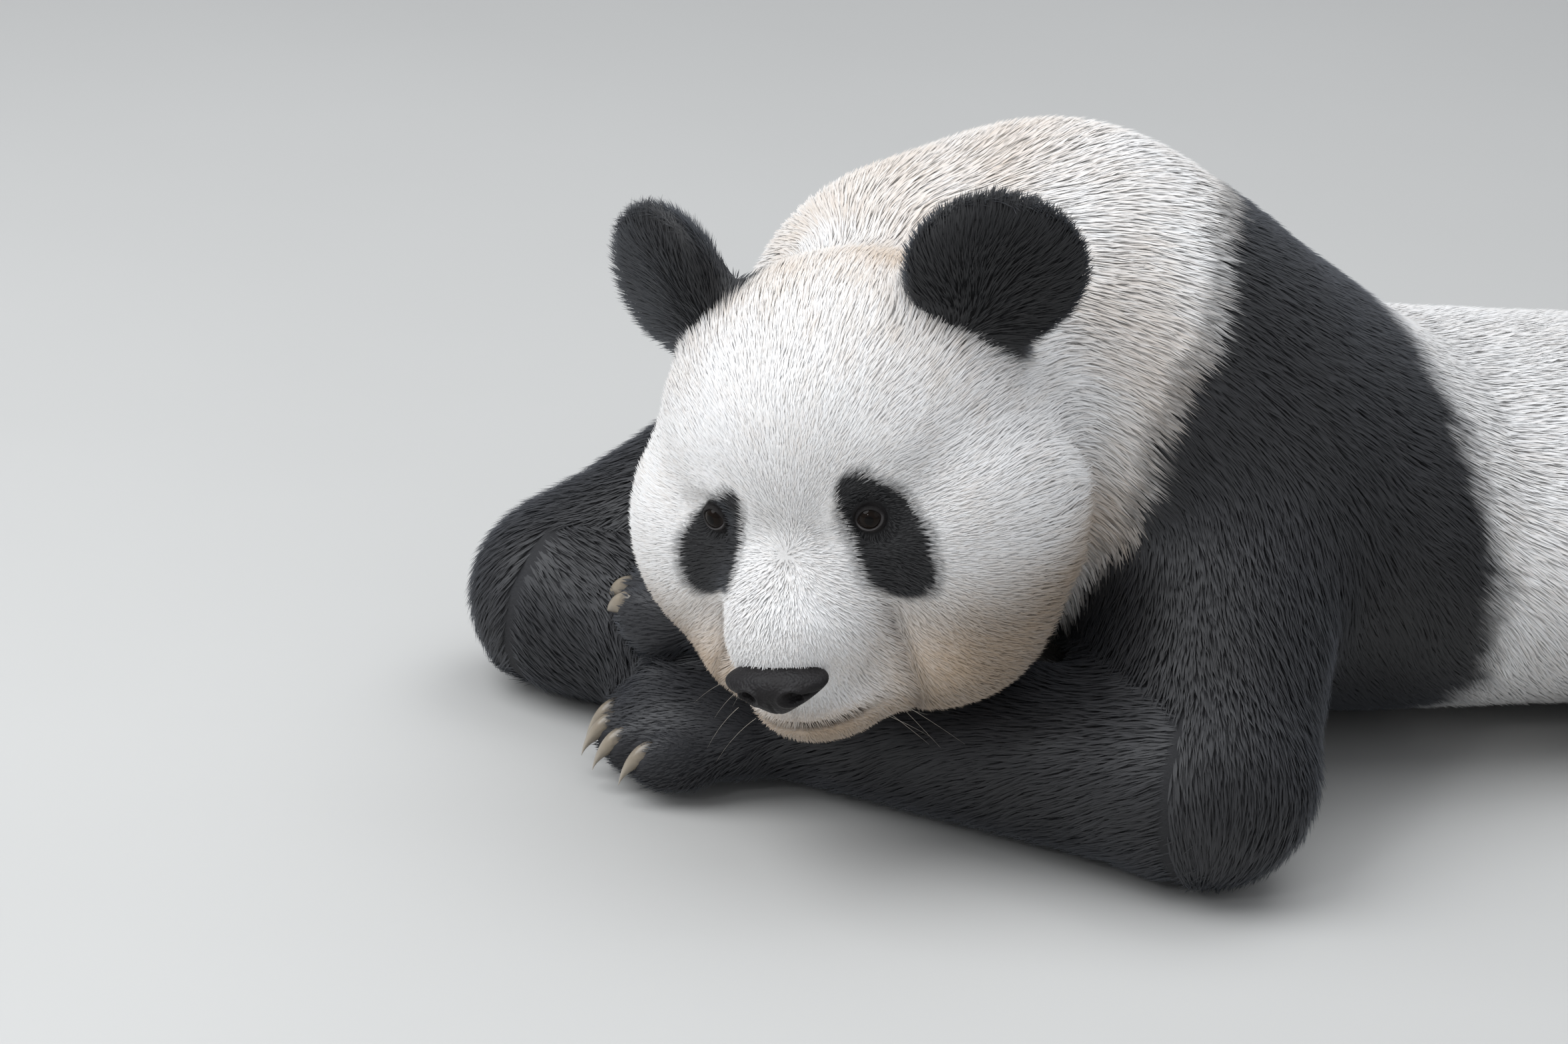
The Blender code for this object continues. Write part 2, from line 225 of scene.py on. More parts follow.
def pawBalls():
    # palm, wrist and five toes, the outer toes set back along a curve
    toes = [((toe * pawSettings["toePitch"], pawSettings["toeReach"] + pawSettings["toeCurve"] * toe * toe,
              pawSettings["toeDrop"]), pawSettings["toe"]) for toe in range(-2, 3)]
    return [pawSettings["palm"], pawSettings["wrist"], *toes]


def earBalls(side):
    # the round of the ear and its root, both with the ear's own tilt
    tilt = np.array(Euler([math.radians(t * (1, side, side)[k]) for k, t in
                           enumerate(earSettings["tilt"])]).to_matrix())
    return [(np.array(earSettings[at]) * (side, 1, 1), earSettings[size], tilt)
            for at, size in (("at", "size"), ("rootAt", "rootSize"))]


spineList = spineSteps()


def bodyFields(points):
    # the field of each part of the body, in metres from the tips of the coat, negative inside
    def massField(local, masses, kind):
        return mergedAll((ballField(local, *mass) for mass in masses), filletSettings[kind])

    inHead, provisional = toHead(points), points - placeShift
    fields = {"head": massField(inHead, headMasses(), "head")}
    for side, name in earSides:
        fields[name] = massField(inHead, earBalls(side), "ear")
    fields["spine"] = massField(provisional, spineList, "spine")
    for name, (joints, radii) in limbSettings.items():
        fields[name] = limbField(provisional, joints, radii)
    for name in pawSettings["places"]:
        place, turn, stretch = pawFrame(name)
        fields[name] = massField(((provisional - place) @ turn) / stretch, pawBalls(), "paw")
    return {name: field + drawnIn[name] for name, field in fields.items()}


def wholeField(fields):
    # all parts joined: broad fillets on the body, narrow ones where the head lies on the forelegs
    whole = merged(fields["spine"], fields["head"], filletSettings["neck"])
    for _, name in earSides:
        whole = merged(whole, fields[name], filletSettings["earRoot"])
    whole = merged(whole, fields["tail"], filletSettings["tailRoot"])
    nearHead = 1 - eased(fields["head"], 0.0, 0.06)
    broad, less = filletSettings["legRoot"], filletSettings["lessUnderHead"]
    for paw in pawSettings["places"]:
        limb = merged(fields[paw.replace("paw", "leg")], fields[paw], filletSettings["ankle"])
        whole = merged(whole, limb, broad - less * nearHead)
    return whole


def sharesOf(fields):
    # how far each point belongs to each part, adding up to 1
    names = list(fields)
    stack = np.stack([fields[name] for name in names])
    weight = np.exp(-(stack - stack.min(0)) / 0.010)
    weight /= weight.sum(0)
    return dict(zip(names, weight))


def pairShare(shares, *kinds):
    # the share of the parts of these kinds, left and right together
    return sum(shares[kind + "Left"] + shares[kind + "Right"] for kind in kinds)


def coatValues(points, shares):
    # depth, length, spacing and width of the coat, mixed by the share of each part
    back = eased(toHead(points)[:, 1], -0.110, 0.010)
    muzzle, crown = (np.array(coatSettings[name])[:, None] for name in ("muzzle", "crown"))
    values = shares["head"] * (muzzle + (crown - muzzle) * back)
    for kind, share in (("ear", pairShare(shares, "ear")),
                        ("spine", shares["spine"]), ("tail", shares["tail"]),
                        ("leg", pairShare(shares, "foreleg", "hindleg")),
                        ("paw", pairShare(shares, "forepaw", "hindpaw"))):
        values = values + share * np.array(coatSettings[kind])[:, None]
    return values


def skinLevel(points):
    # 0 on the skin, which lies inside the tips by the coat's depth and just clear of the floor
    fields = bodyFields(points)
    level = wholeField(fields) + coatValues(points, sharesOf(fields))[0]
    return -merged(-level, points[:, 2] - coatSettings["floorLevel"], filletSettings["floor"])


def slopeOf(points, step=0.0008):
    # the level and its slope, from four samples at the corners of a small tetrahedron
    corners = np.array([(1, -1, -1), (-1, -1, 1), (-1, 1, -1), (1, 1, 1)], float)
    slope, level = np.zeros_like(points), np.zeros(len(points))
    for corner in corners:
        sample = skinLevel(points + corner * step)
        slope += sample[:, None] * corner
        level += sample / 4
    return level, slope / (4 * step)


def cloud(points, size, seed, channels=1, cells=24):
    # smooth noise from -1 to 1: random values on a cubic lattice, eased between its corners
    lattice = np.random.default_rng(seed).uniform(-1, 1, (cells, cells, cells, channels))
    scaled = points / size
    low = np.floor(scaled).astype(int)
    part = scaled - low
    part = part * part * (3 - 2 * part)
    total = 0
    for corner in np.ndindex(2, 2, 2):
        index = (low + corner) % cells
        weight = np.prod(np.where(corner, part, 1 - part), axis=1)
        total = total + weight[:, None] * lattice[index[:, 0], index[:, 1], index[:, 2]]
    return total if channels > 1 else total[:, 0]


def newObject(name, content):
    made = bpy.data.objects.new(name, content)
    bpy.context.scene.collection.objects.link(made)
    if isinstance(content, bpy.types.Mesh):
        content.shade_smooth()
    return made


def meshObject(name, points, faces):
    # an object whose faces all have the same number of corners
    mesh = bpy.data.meshes.new(name)
    faces = np.ascontiguousarray(faces, np.int32)
    mesh.vertices.add(len(points))
    mesh.vertices.foreach_set("co", np.ascontiguousarray(points, np.float32).ravel())
    mesh.loops.add(faces.size)
    mesh.loops.foreach_set("vertex_index", faces.ravel())
    mesh.polygons.add(len(faces))
    mesh.polygons.foreach_set("loop_start", np.arange(0, faces.size, faces.shape[1], dtype=np.int32))
    mesh.update(calc_edges=True)
    return newObject(name, mesh)


def mixedMesh(name, points, quads, caps):
    # an object of four-cornered faces and three-cornered ones
    mesh = bpy.data.meshes.new(name)
    mesh.from_pydata(points.reshape(-1, 3).tolist(), [],
                     quads.reshape(-1, 4).tolist() + caps.reshape(-1, 3).tolist())
    return newObject(name, mesh)


def changeMesh(obj, change):
    # lets a function work on the object's mesh as a bmesh
    bm = bmesh.new()
    bm.from_mesh(obj.data)
    change(bm)
    bm.to_mesh(obj.data)
    bm.free()


def faceOut(obj):
    changeMesh(obj, lambda bm: bmesh.ops.recalc_face_normals(bm, faces=bm.faces[:]))


def putValues(obj, name, values):
    layer = obj.data.attributes.new(name, "FLOAT", "POINT")
    layer.data.foreach_set("value", np.ascontiguousarray(values, np.float32))


def readRows(items, what="co", size=3, kind=np.float32):
    # one row of numbers for each vertex, edge, face or loop
    found = np.empty(len(items) * size, kind)
    items.foreach_get(what, found)
    found = found.reshape(-1, size)
    return found.astype(float) if kind is np.float32 else found


def movePoints(obj, points):
    obj.data.vertices.foreach_set("co", points.astype(np.float32).ravel())
    obj.data.update()


def ballGrid(rings=14, segments=20):
    # unit sphere: rings of latitude with a point at each pole
    tall = np.linspace(0, math.pi, rings + 1)[1:-1]
    around = np.linspace(0, 2 * math.pi, segments, endpoint=False)
    tall, around = np.meshgrid(tall, around, indexing="ij")
    points = np.stack([np.sin(tall) * np.cos(around), np.sin(tall) * np.sin(around),
                       np.cos(tall)], -1).reshape(-1, 3)
    points = np.vstack([points, (0, 0, 1), (0, 0, -1)])
    row, col = np.meshgrid(np.arange(rings - 2), np.arange(segments), indexing="ij")
    following = (col + 1) % segments
    quads = np.stack([row * segments + col, (row + 1) * segments + col,
                      (row + 1) * segments + following, row * segments + following],
                     -1).reshape(-1, 4)
    cols = np.arange(segments)
    top, bottom = (rings - 1) * segments, (rings - 1) * segments + 1
    caps = np.vstack([np.stack([cols * 0 + top, cols, (cols + 1) % segments], -1),
                      np.stack([cols * 0 + bottom, (rings - 2) * segments + (cols + 1) % segments,
                                (rings - 2) * segments + cols], -1)])
    return points, quads, caps


skinSettings = {
    "voxel": 0.0065, "settleSteps": 3, "faceFrom": -0.035, "faceTo": -0.20, "faceLow": -0.15,
    "faceHalf": 0.125, "finePlaces": 0.024, "creaseDepth": 0.0042, "mouthDepth": 0.0048,
    "mouthWidth": 0.0034, "mouthAt": -0.1035, "mouthFlat": 0.020, "mouthLift": 4.8,
    "philtrum": 0.0012, "socket": 0.0030, "socketRim": 0.0016, "whorlAt": (0.0, -0.1235, 0.004),
    "limbSteps": 7,
    "roughInside": {"head": 0.006, "ear": 0.008, "spine": 0.018, "limb": 0.014, "paw": 0.005},
}
eyeSettings = {
    "radius": 0.0110, "back": 0.0030, "gaze": (0.30, -0.94, 0.16), "slitTilt": 10,
    "halfWidth": 0.0080, "upper": 0.0068, "lower": 0.0064, "lidThick": 0.0008,
    "lidOpen": 0.16, "lidSpread": 0.0105, "innerCorner": 1.14, "bulge": 0.055,
}


def eyeFrame(side):
    # origin, then columns: along the slit away from the nose, up, and out along the gaze
    gaze = unit(np.array(eyeSettings["gaze"]) * (side, 1, 1))
    outward = unit(np.cross((0, 0, 1), gaze) * side)
    upward = np.cross(gaze, outward) * side
    tilt = math.radians(eyeSettings["slitTilt"])
    slit = outward * math.cos(tilt) + upward * math.sin(tilt)
    lift = upward * math.cos(tilt) - outward * math.sin(tilt)
    at = np.array(poseSettings["eyeAt"]) * (side, 1, 1) - gaze * eyeSettings["back"]
    return headOrigin + headAxes @ at, headAxes @ np.stack([slit, lift, gaze], -1)


def ballSoup():
    # every mass as its own ball, drawn in by about the coat's depth, as the stuff for one remesh
    sphere, quads, caps = ballGrid()
    balls, inside = [], skinSettings["roughInside"]
    for centre, radii in headMasses():
        balls.append((headOrigin + headAxes @ centre, radii - inside["head"], headAxes))
    for side in (-1, 1):
        for at, size, tilt in earBalls(side):
            balls.append((headOrigin + headAxes @ at, np.array(size) - inside["ear"], headAxes @ tilt))
    for centre, radii, turn in spineList:
        balls.append((centre + placeShift, radii - inside["spine"], turn))
    for joints, radii in limbSettings.values():
        for here, there, wide, narrow in zip(joints, joints[1:], radii, radii[1:]):
            for part in np.linspace(0, 1, skinSettings["limbSteps"]):
                centre = np.array(here) * (1 - part) + np.array(there) * part + placeShift
                radius = wide + (narrow - wide) * part - inside["limb"]
                balls.append((centre, np.full(3, radius), np.eye(3)))
    for name in pawSettings["places"]:
        place, turn, stretch = pawFrame(name)
        for centre, radii in pawBalls():
            balls.append((placeShift + place + turn @ (np.array(centre) * stretch),
                          np.array(radii) * stretch - inside["paw"], turn))
    points = np.vstack([centre + (sphere * radii) @ axes.T for centre, radii, axes in balls])
    starts = np.arange(len(balls))[:, None, None] * len(sphere)
    return mixedMesh("skin", points, quads + starts, caps + starts)


def applyModifiers(obj):
    # puts the mesh that the modifiers make in place of the plain one
    graph = bpy.context.evaluated_depsgraph_get()
    mesh = bpy.data.meshes.new_from_object(obj.evaluated_get(graph))
    obj.modifiers.clear()
    old, obj.data = obj.data, mesh
    bpy.data.meshes.remove(old)
    mesh.name = obj.name


def ontoLevel(points, rounds, reach=0.02):
    # steps along the slope of the field until the points lie on the skin's level
    for _ in range(rounds):
        level, slope = slopeOf(points)
        length = np.maximum((slope * slope).sum(1), 0.25)
        points = points - np.clip(level / length, -reach, reach)[:, None] * slope
    return points


def settled(points, edges, rounds, share=0.5):
    # each point moves part of the way to the mean of its neighbours
    count = np.bincount(edges.ravel(), minlength=len(points))[:, None]
    for _ in range(rounds):
        total = np.zeros_like(points)
        for axis in range(3):
            total[:, axis] = (np.bincount(edges[:, 0], points[edges[:, 1], axis], len(points))
                              + np.bincount(edges[:, 1], points[edges[:, 0], axis], len(points)))
        points = points + (total / count - points) * share
    return points


def splitFaces(obj, wanted):
    # divides every face of which wanted is true into four
    def divide(bm):
        bm.faces.ensure_lookup_table()
        edges = {edge for index in np.nonzero(wanted)[0] for edge in bm.faces[index].edges}
        bmesh.ops.subdivide_edges(bm, edges=list(edges), cuts=1, use_grid_fill=True)

    changeMesh(obj, divide)


def mouthLine(inHead):
    # height above the mouth line, which lifts a little towards its corners, and the share of each
    # point that lies along it: full at the front, gone past the corners
    sideways = np.abs(inHead[:, 0])
    beyond = np.maximum(sideways - skinSettings["mouthFlat"], 0)
    height = inHead[:, 2] - skinSettings["mouthAt"] - skinSettings["mouthLift"] * beyond ** 2
    front = eased(-inHead[:, 1], 0.098, 0.118) * eased(0.060 - sideways, 0.0, 0.034)
    return height, front


def muzzleCrease(inHead):
    # 1 in the fold where muzzle and jaw meet the cheek, from below the eye down to the throat
    folded = np.column_stack([np.abs(inHead[:, 0]), inHead[:, 1:]])
    balls = {name: ballField(inHead if name == "leftJowl" else folded, *map(np.array, headBalls[name]))
             for name in ("muzzle", "jaw", "cheek", "leftJowl")}
    apart = np.minimum(balls["muzzle"], balls["jaw"]) - np.minimum(balls["cheek"], balls["leftJowl"])
    return hump(apart, 0.008) * eased(-inHead[:, 2], 0.020, 0.055) * eased(-inHead[:, 1], 0.040, 0.070)


def offWhorl(inHead):
    # distance from the whorl between the eyes
    return np.linalg.norm(inHead - skinSettings["whorlAt"], axis=1)


def faceDetail(points, normals):
    # the mouth and its corner, the fold of the muzzle, the groove under the nose, the hollow that
    # each eye lies in, with its rim, and the cup of each ear
    inHead = toHead(points)
    height, front = mouthLine(inHead)
    move = -skinSettings["mouthDepth"] * hump(height, skinSettings["mouthWidth"]) * front
    move -= skinSettings["creaseDepth"] * muzzleCrease(inHead)
    groove = hump(inHead[:, 0], 0.0022) * eased(-inHead[:, 1], 0.14, 0.155)
    groove *= eased(-inHead[:, 2], 0.070, 0.080) * eased(inHead[:, 2], -0.105, -0.098)
    move -= skinSettings["philtrum"] * groove
    for side in (-1, 1):
        centre, axes = eyeFrame(side)
        off = np.linalg.norm((points - centre) @ axes * (0.9, 1.0, 0.5), axis=1)
        move -= skinSettings["socket"] * hump(off, 0.013)
        move += skinSettings["socketRim"] * hump(off - 0.024, 0.007)
        (at, size, tilt), _ = earBalls(side)
        local = (inHead - at) @ tilt / size
        wide, tall = local[:, 0] / earSettings["cupHalf"], local[:, 2] / earSettings["cupHalf"]
        inside = eased(-local[:, 1], 0.0, 0.4) * np.exp(-(wide ** 2 + tall ** 2))
        move -= earSettings["cup"] * inside * (np.abs(local).max(1) < 1.6)
    return points + normals * move[:, None]


skin = ballSoup()
fuse = skin.modifiers.new("fuse", "REMESH")
fuse.mode = "VOXEL"
fuse.voxel_size = skinSettings["voxel"]
applyModifiers(skin)
skinEdges = readRows(skin.data.edges, "vertices", 2, np.int32)
skinPoints = settled(readRows(skin.data.vertices), skinEdges, skinSettings["settleSteps"])
movePoints(skin, ontoLevel(skinPoints, 3))
print("skin fused,", len(skin.data.polygons), "faces")

inHead = toHead(readRows(skin.data.polygons, "center"))
splitFaces(skin, (inHead[:, 1] < skinSettings["faceFrom"]) & (inHead[:, 2] > skinSettings["faceLow"])
           & (np.abs(inHead[:, 0]) < skinSettings["faceHalf"]) & (inHead[:, 1] > skinSettings["faceTo"]))
centres = readRows(skin.data.polygons, "center")
height, front = mouthLine(toHead(centres))
near = (np.abs(height) < 0.010) & (front > 0.05)
for side in (-1, 1):
    near |= np.linalg.norm(centres - eyeFrame(side)[0], axis=1) < skinSettings["finePlaces"]
splitFaces(skin, near)
skinPoints = ontoLevel(readRows(skin.data.vertices), 2)
movePoints(skin, skinPoints)
movePoints(skin, faceDetail(skinPoints, readRows(skin.data.vertices, "normal")))
print("skin shaped,", len(skin.data.polygons), "faces")


markSettings = {
    # each eye patch: its middle, the way it runs down, half its length, half its width above and below
    "patches": {1: ((0.0628, 0.0064), (0.37, -0.929), 0.0488, (0.0202, 0.0262)),
                -1: ((0.0542, 0.0032), (0.56, -0.828), 0.0450, (0.0155, 0.0255))},
    "patchRagged": 0.05, "bandRagged": 0.010,
    # lip and cheek marks: stain with painted shade; whorl and crease marks: painted shade
    "lipStainAndShade": 0.50, "cheekStainAndShade": 0.36, "whorlShade": 0.34, "creaseShade": 0.7,
    # chin cream: stain with painted shade; paw and leg dust: dust with painted sheen
    "chinCreamAndShade": 0.92, "crownCream": 0.40, "neckCream": 0.24, "pawDustAndSheen": 0.80, "legDustAndSheen": 0.55,
}


def blackness(points, shares):
    # 1 where the coat is black: ears, eye patches, shoulders, all four legs; less where it is greyed by
    # stain with painted shade along the lips, behind the muzzle and under the chin, and by painted shade in
    # the fold of the muzzle and at the whorl
    inHead, provisional = toHead(points), points - placeShift
    ragged = cloud(points, 0.012, 11) + 0.6 * cloud(points, 0.005, 12)
    black = eased(pairShare(shares, "ear"), 0.22, 0.50)
    for side, (at, (out, down), length, widths) in markSettings["patches"].items():
        across, tall = inHead[:, 0] * side - at[0], inHead[:, 2] - at[1]
        along, beside = across * out + tall * down, tall * out - across * down
        low = eased(along, -0.03, 0.03)
        wide = widths[0] * (1 - low) + widths[1] * low
        reach = np.hypot(along / length, beside / wide)
        reach += markSettings["patchRagged"] * ragged
        black = np.maximum(black, eased(1.06 - reach, 0, 0.10) * (inHead[:, 1] < -0.03)
                           * shares["head"])
    wavy = markSettings["bandRagged"] * (cloud(points, 0.03, 13) + 0.7 * ragged)
    fore, rear = ((provisional - at) @ unit(np.array(facing)) + wavy
                  for at, facing in (bandSettings["front"], bandSettings["rear"]))
    flank = np.maximum(np.abs(provisional[:, 0] - bandSettings["middle"]) - bandSettings["flat"], 0)
    band = eased(fore + bandSettings["flare"] * flank, -0.006, 0.006) * eased(-rear, -0.010, 0.010)
    black = np.maximum(black, band * eased(shares["head"], 0.9, 0.3))
    legs = pairShare(shares, "foreleg", "hindleg") + pairShare(shares, "forepaw", "hindpaw")
    height, front = mouthLine(inHead)
    # stain with painted shade along the mouth line
    stainedAndShaded = markSettings["lipStainAndShade"] * hump(height, 0.0042) * front * shares["head"]
    # painted shadow of the muzzle on the low cheeks behind it, and painted shade under the chin, each with
    # soil
    behind = eased(inHead[:, 1], -0.115, -0.085)
    soiledAndShaded = eased(-inHead[:, 2], 0.020, 0.080) * eased(np.abs(inHead[:, 0]), 0.015, 0.060) * behind
    soiledAndShaded = np.maximum(soiledAndShaded, eased(-inHead[:, 2], 0.092, 0.118))
    # painted shade in the fold where muzzle and jaw meet the cheek
    soiledAndShaded = soiledAndShaded + markSettings["creaseShade"] * muzzleCrease(inHead)
    stainedAndShaded = np.maximum(stainedAndShaded, markSettings["cheekStainAndShade"] * soiledAndShaded * shares["head"])
    # painted shade greying the whorl between the eyes
    stainedAndShaded = np.maximum(stainedAndShaded, markSettings["whorlShade"] * hump(offWhorl(inHead), 0.009))
    return np.maximum(np.maximum(black, stainedAndShaded), eased(legs + 0.06 * ragged, 0.30, 0.62))


def stainShadeAndSheen(points, shares):
    # how far the white coat is stained cream: crown and nape, the neck; on the low cheeks and jaw, cream
    # stain with painted shade; on the legs, how dusty the black coat looks, with painted sheen
    inHead, provisional = toHead(points), points - placeShift
    slow = cloud(points, 0.075, 21) + 0.5 * cloud(points, 0.030, 22)
    crown = hump(inHead[:, 1] - 0.040, 0.070) * eased(inHead[:, 2], 0.03, 0.09)
    # low cheeks, jaw and chin: cream stain with painted shade
    low = eased(-inHead[:, 2], 0.015, 0.095) * eased(np.abs(inHead[:, 0]), 0.020, 0.070)
    chin = eased(-inHead[:, 2], 0.080, 0.110)
    lockwise = np.maximum(cloud(points, 0.011, 23), 0) * eased(inHead[:, 1], -0.10, -0.03)
    head = 0.05 + 0.07 * slow + crown * (markSettings["crownCream"] + 0.28 * slow) + (
        np.maximum(low, chin) * (markSettings["chinCreamAndShade"] + 0.2 * slow)) + 0.20 * lockwise
    neck = eased(0.36 - provisional[:, 1], 0, 0.16)
    side = eased(0.27 - provisional[:, 2], 0, 0.12)
    back = 0.05 + 0.06 * slow + neck * (markSettings["neckCream"] + 0.20 * slow + 0.22 * side)
    cream = shares["head"] * head + (shares["spine"] + shares["tail"]) * back
    # dust with painted sheen on the black paws and legs
    cream = cream + pairShare(shares, "forepaw", "hindpaw") * (markSettings["pawDustAndSheen"] + 0.25 * slow)
    cream = cream + pairShare(shares, "foreleg", "hindleg") * (markSettings["legDustAndSheen"] + 0.35 * slow)
    return np.clip(cream, 0, 1)


def aboutEye(points, side, wide, lid, tall):
    # each point in the frame of one eye, how far out it lies from an almond of the eye's own size
    # times wide and tall, and whether it is near the eye at all
    centre, axes = eyeFrame(side)
    off = (points - centre) @ axes
    ring = np.hypot(off[:, 0] / (eyeSettings["halfWidth"] * wide), off[:, 1] / (eyeSettings[lid] * tall))
    return off, ring, np.abs(off[:, 2]) < 0.02


def bareness(points):
    # 1 on naked skin: the lip line and the edge of each eye
    height, front = mouthLine(toHead(points))
    bare = 0.9 * hump(height, 0.0022) * front
    for side in (-1, 1):
        _, ring, near = aboutEye(points, side, 1.25, "upper", 1.45)
        bare = np.maximum(bare, eased(1.15 - ring, 0, 0.15) * near)
    return bare


def rimReflection(points):
    # 1 where a reflection is painted along the wet edge of each lower lid, from the corner by the nose
    pale = np.zeros(len(points))
    for side in (-1, 1):
        off, ring, near = aboutEye(points, side, 1.02, "lower", 1.04)
        edge = hump(ring - 1.03, 0.07) * eased(-off[:, 1], -0.003, 0.004)
        pale = np.maximum(pale, edge * near)
    return pale


def lidRing(side, around=56, across=12):
    # an almond on the eyeball, round the eye by rows from the open edge outwards: it turns over the
    # edge, runs out over the ball with the lid's thickness and dips into the skin
    centre, axes = eyeFrame(side)
    turn, out = np.meshgrid(np.linspace(0, 2 * math.pi, around, endpoint=False),
                            np.linspace(0, 1, across), indexing="ij")
    upper = np.sin(turn) > 0
    tall = np.where(upper, eyeSettings["upper"], eyeSettings["lower"])
    # the corner by the nose is drawn out
    corner = np.where(np.cos(turn) < 0, eyeSettings["innerCorner"], 1.0)
    edge = np.stack([eyeSettings["halfWidth"] * corner * np.cos(turn) * (1 - 0.10 * np.sin(turn) ** 2),
                     tall * np.sin(turn) * np.abs(np.sin(turn)) ** 0.15], -1)
    ball, lidOpen = eyeSettings["radius"], eyeSettings["lidOpen"]
    spread = edge + unit(edge) * (np.maximum(out - lidOpen, 0) * eyeSettings["lidSpread"])[..., None]
    lift = eyeSettings["lidThick"] * np.clip(out / lidOpen, 0, 1) ** 0.5
    crease = hump(out - 0.52, 0.10) * np.where(upper, 0.0009, 0.0006)
    shell = ball + 0.0002 + lift - crease
    reach = np.linalg.norm(spread, axis=-1)
    angle = np.minimum(reach / ball, 1.35)
    flat = spread / reach[..., None]
    outer, inner = (np.stack([flat[..., 0] * np.sin(angle) * far, flat[..., 1] * np.sin(angle) * far,
                              np.cos(angle) * far], -1) for far in (shell, ball - 0.002))
    local = np.concatenate([outer, inner[:, ::-1]], 1)
    rows = local.shape[1]
    points = centre + local.reshape(-1, 3) @ axes.T
    i, j = np.meshgrid(np.arange(around), np.arange(rows), indexing="ij")
    i2, j2 = (i + 1) % around, (j + 1) % rows
    faces = np.stack([i * rows + j, i2 * rows + j, i2 * rows + j2, i * rows + j2], -1).reshape(-1, 4)
    return points, (faces if side > 0 else faces[:, ::-1])


def joinInto(obj, extra):
    # adds the mesh of extra to obj and deletes extra
    changeMesh(obj, lambda bm: bm.from_mesh(extra.data))
    mesh = extra.data
    bpy.data.objects.remove(extra)
    bpy.data.meshes.remove(mesh)


skinBefore = len(skin.data.vertices)
for side in (-1, 1):
    joinInto(skin, meshObject("lids", *lidRing(side)))
skinPoints = readRows(skin.data.vertices)
skinNormals = readRows(skin.data.vertices, "normal")
skinShares = sharesOf(bodyFields(skinPoints))
putValues(skin, "blackness", blackness(skinPoints, skinShares))
putValues(skin, "stainShadeAndSheen", stainShadeAndSheen(skinPoints, skinShares))
skinBare = bareness(skinPoints)
putValues(skin, "bareness", skinBare)
# painted reflection along the wet edge of each lower lid
putValues(skin, "rimReflection", rimReflection(skinPoints))
skin.data.shade_smooth()
bpy.context.view_layer.objects.active = skin
skin.select_set(True)
bpy.ops.object.mode_set(mode="EDIT")
bpy.ops.mesh.select_all(action="SELECT")
bpy.ops.uv.smart_project(angle_limit=math.radians(66), island_margin=0.0005)
bpy.ops.object.mode_set(mode="OBJECT")
skin.data.uv_layers.active.name = "OFBake"
print("skin marked and unwrapped")


def coatLie(points, shares):
    # the way the coat lies, before it is laid on the surface: out from the whorl between the eyes
    # and back over the head, then along the back and down, and down each leg to the toes
    inHead, provisional = toHead(points), points - placeShift
    off = inHead - np.array(skinSettings["whorlAt"])
    away = np.linalg.norm(off, axis=1, keepdims=True)
    lie = unit(off) + eased(away, 0.03, 0.16) * np.array((0, 0.9, -0.15))
    total = shares["head"][:, None] * (unit(lie) @ headAxes.T)
    for side, name in earSides:
        root = np.array(earSettings["rootAt"]) * (side, 1, 1)
        total += shares[name][:, None] * (unit(inHead - root) @ headAxes.T)
    line = np.array([centre for centre, _ in spineBalls])
    slope = unit(np.diff(line, axis=0))
    middle = (line[1:, 1] + line[:-1, 1]) / 2
    run = np.stack([np.interp(provisional[:, 1], middle, slope[:, axis]) for axis in range(3)], -1)
    total += shares["spine"][:, None] * unit(run + (0, 0, -0.75))
    for name, (joints, _) in limbSettings.items():
        joints = np.array(joints)
        best, way = np.full(len(points), 1e9), np.zeros_like(points)
        for here, there in zip(joints, joints[1:]):
            far = np.linalg.norm(offLine(provisional, here, there)[1], axis=1)
            way = np.where((far < best)[:, None], unit(there - here), way)
            best = np.minimum(far, best)
        total += shares[name][:, None] * unit(way + (0, 0, -0.45))
    for name in pawSettings["places"]:
        turn = pawFrame(name)[1]
        total += shares[name][:, None] * (turn @ np.array((0, -1.0, -0.1)))
    return total


def laidFlat(vectors, normals):
    # each way without its share along the normal, to length 1
    return unit(vectors - (vectors * normals).sum(1, keepdims=True) * normals)


def eyeDistance(points):
    # least distance from the line of either gaze, and the way out from it
    best, way = np.full(len(points), 1.0), np.zeros_like(points)
    for side in (-1, 1):
        centre, axes = eyeFrame(side)
        off = (points - centre) @ axes
        far = np.where(off[:, 2] > -0.01, np.hypot(off[:, 0], off[:, 1]), 1.0)
        out = np.stack([off[:, 0], off[:, 1], off[:, 2] * 0], -1) @ axes.T
        closer = far < best
        way = np.where(closer[:, None], unit(out), way)
        best = np.where(closer, far, best)
    return best, way


growthSettings = {
    "seed": 7, "eyeClear": 0.0086, "clawClear": 0.0095, "jitter": 0.08, "swirl": 0.17, "clump": 0.12,
    "lengthSpread": 0.16, "riseSpread": 0.30, "widthSpread": 0.30, "rootInside": 0.0004,
    "widest": 0.45, "roof": 0.45, "ruffLength": 0.75, "ruffRise": 0.8, "onFloor": 0.0006,
    "mostTufts": 49000, "leastTufts": 200,
}
skin.data.calc_loop_triangles()
triangles = readRows(skin.data.loop_triangles, "vertices", 3, np.int32)
triangleLoops = readRows(skin.data.loop_triangles, "loops", 3, np.int32)
skinUv = readRows(skin.data.uv_layers["OFBake"].uv, "vector", 2)
keep = triangles.max(1) < skinBefore  # nothing grows on the lids
triangles, triangleLoops = triangles[keep], triangleLoops[keep]

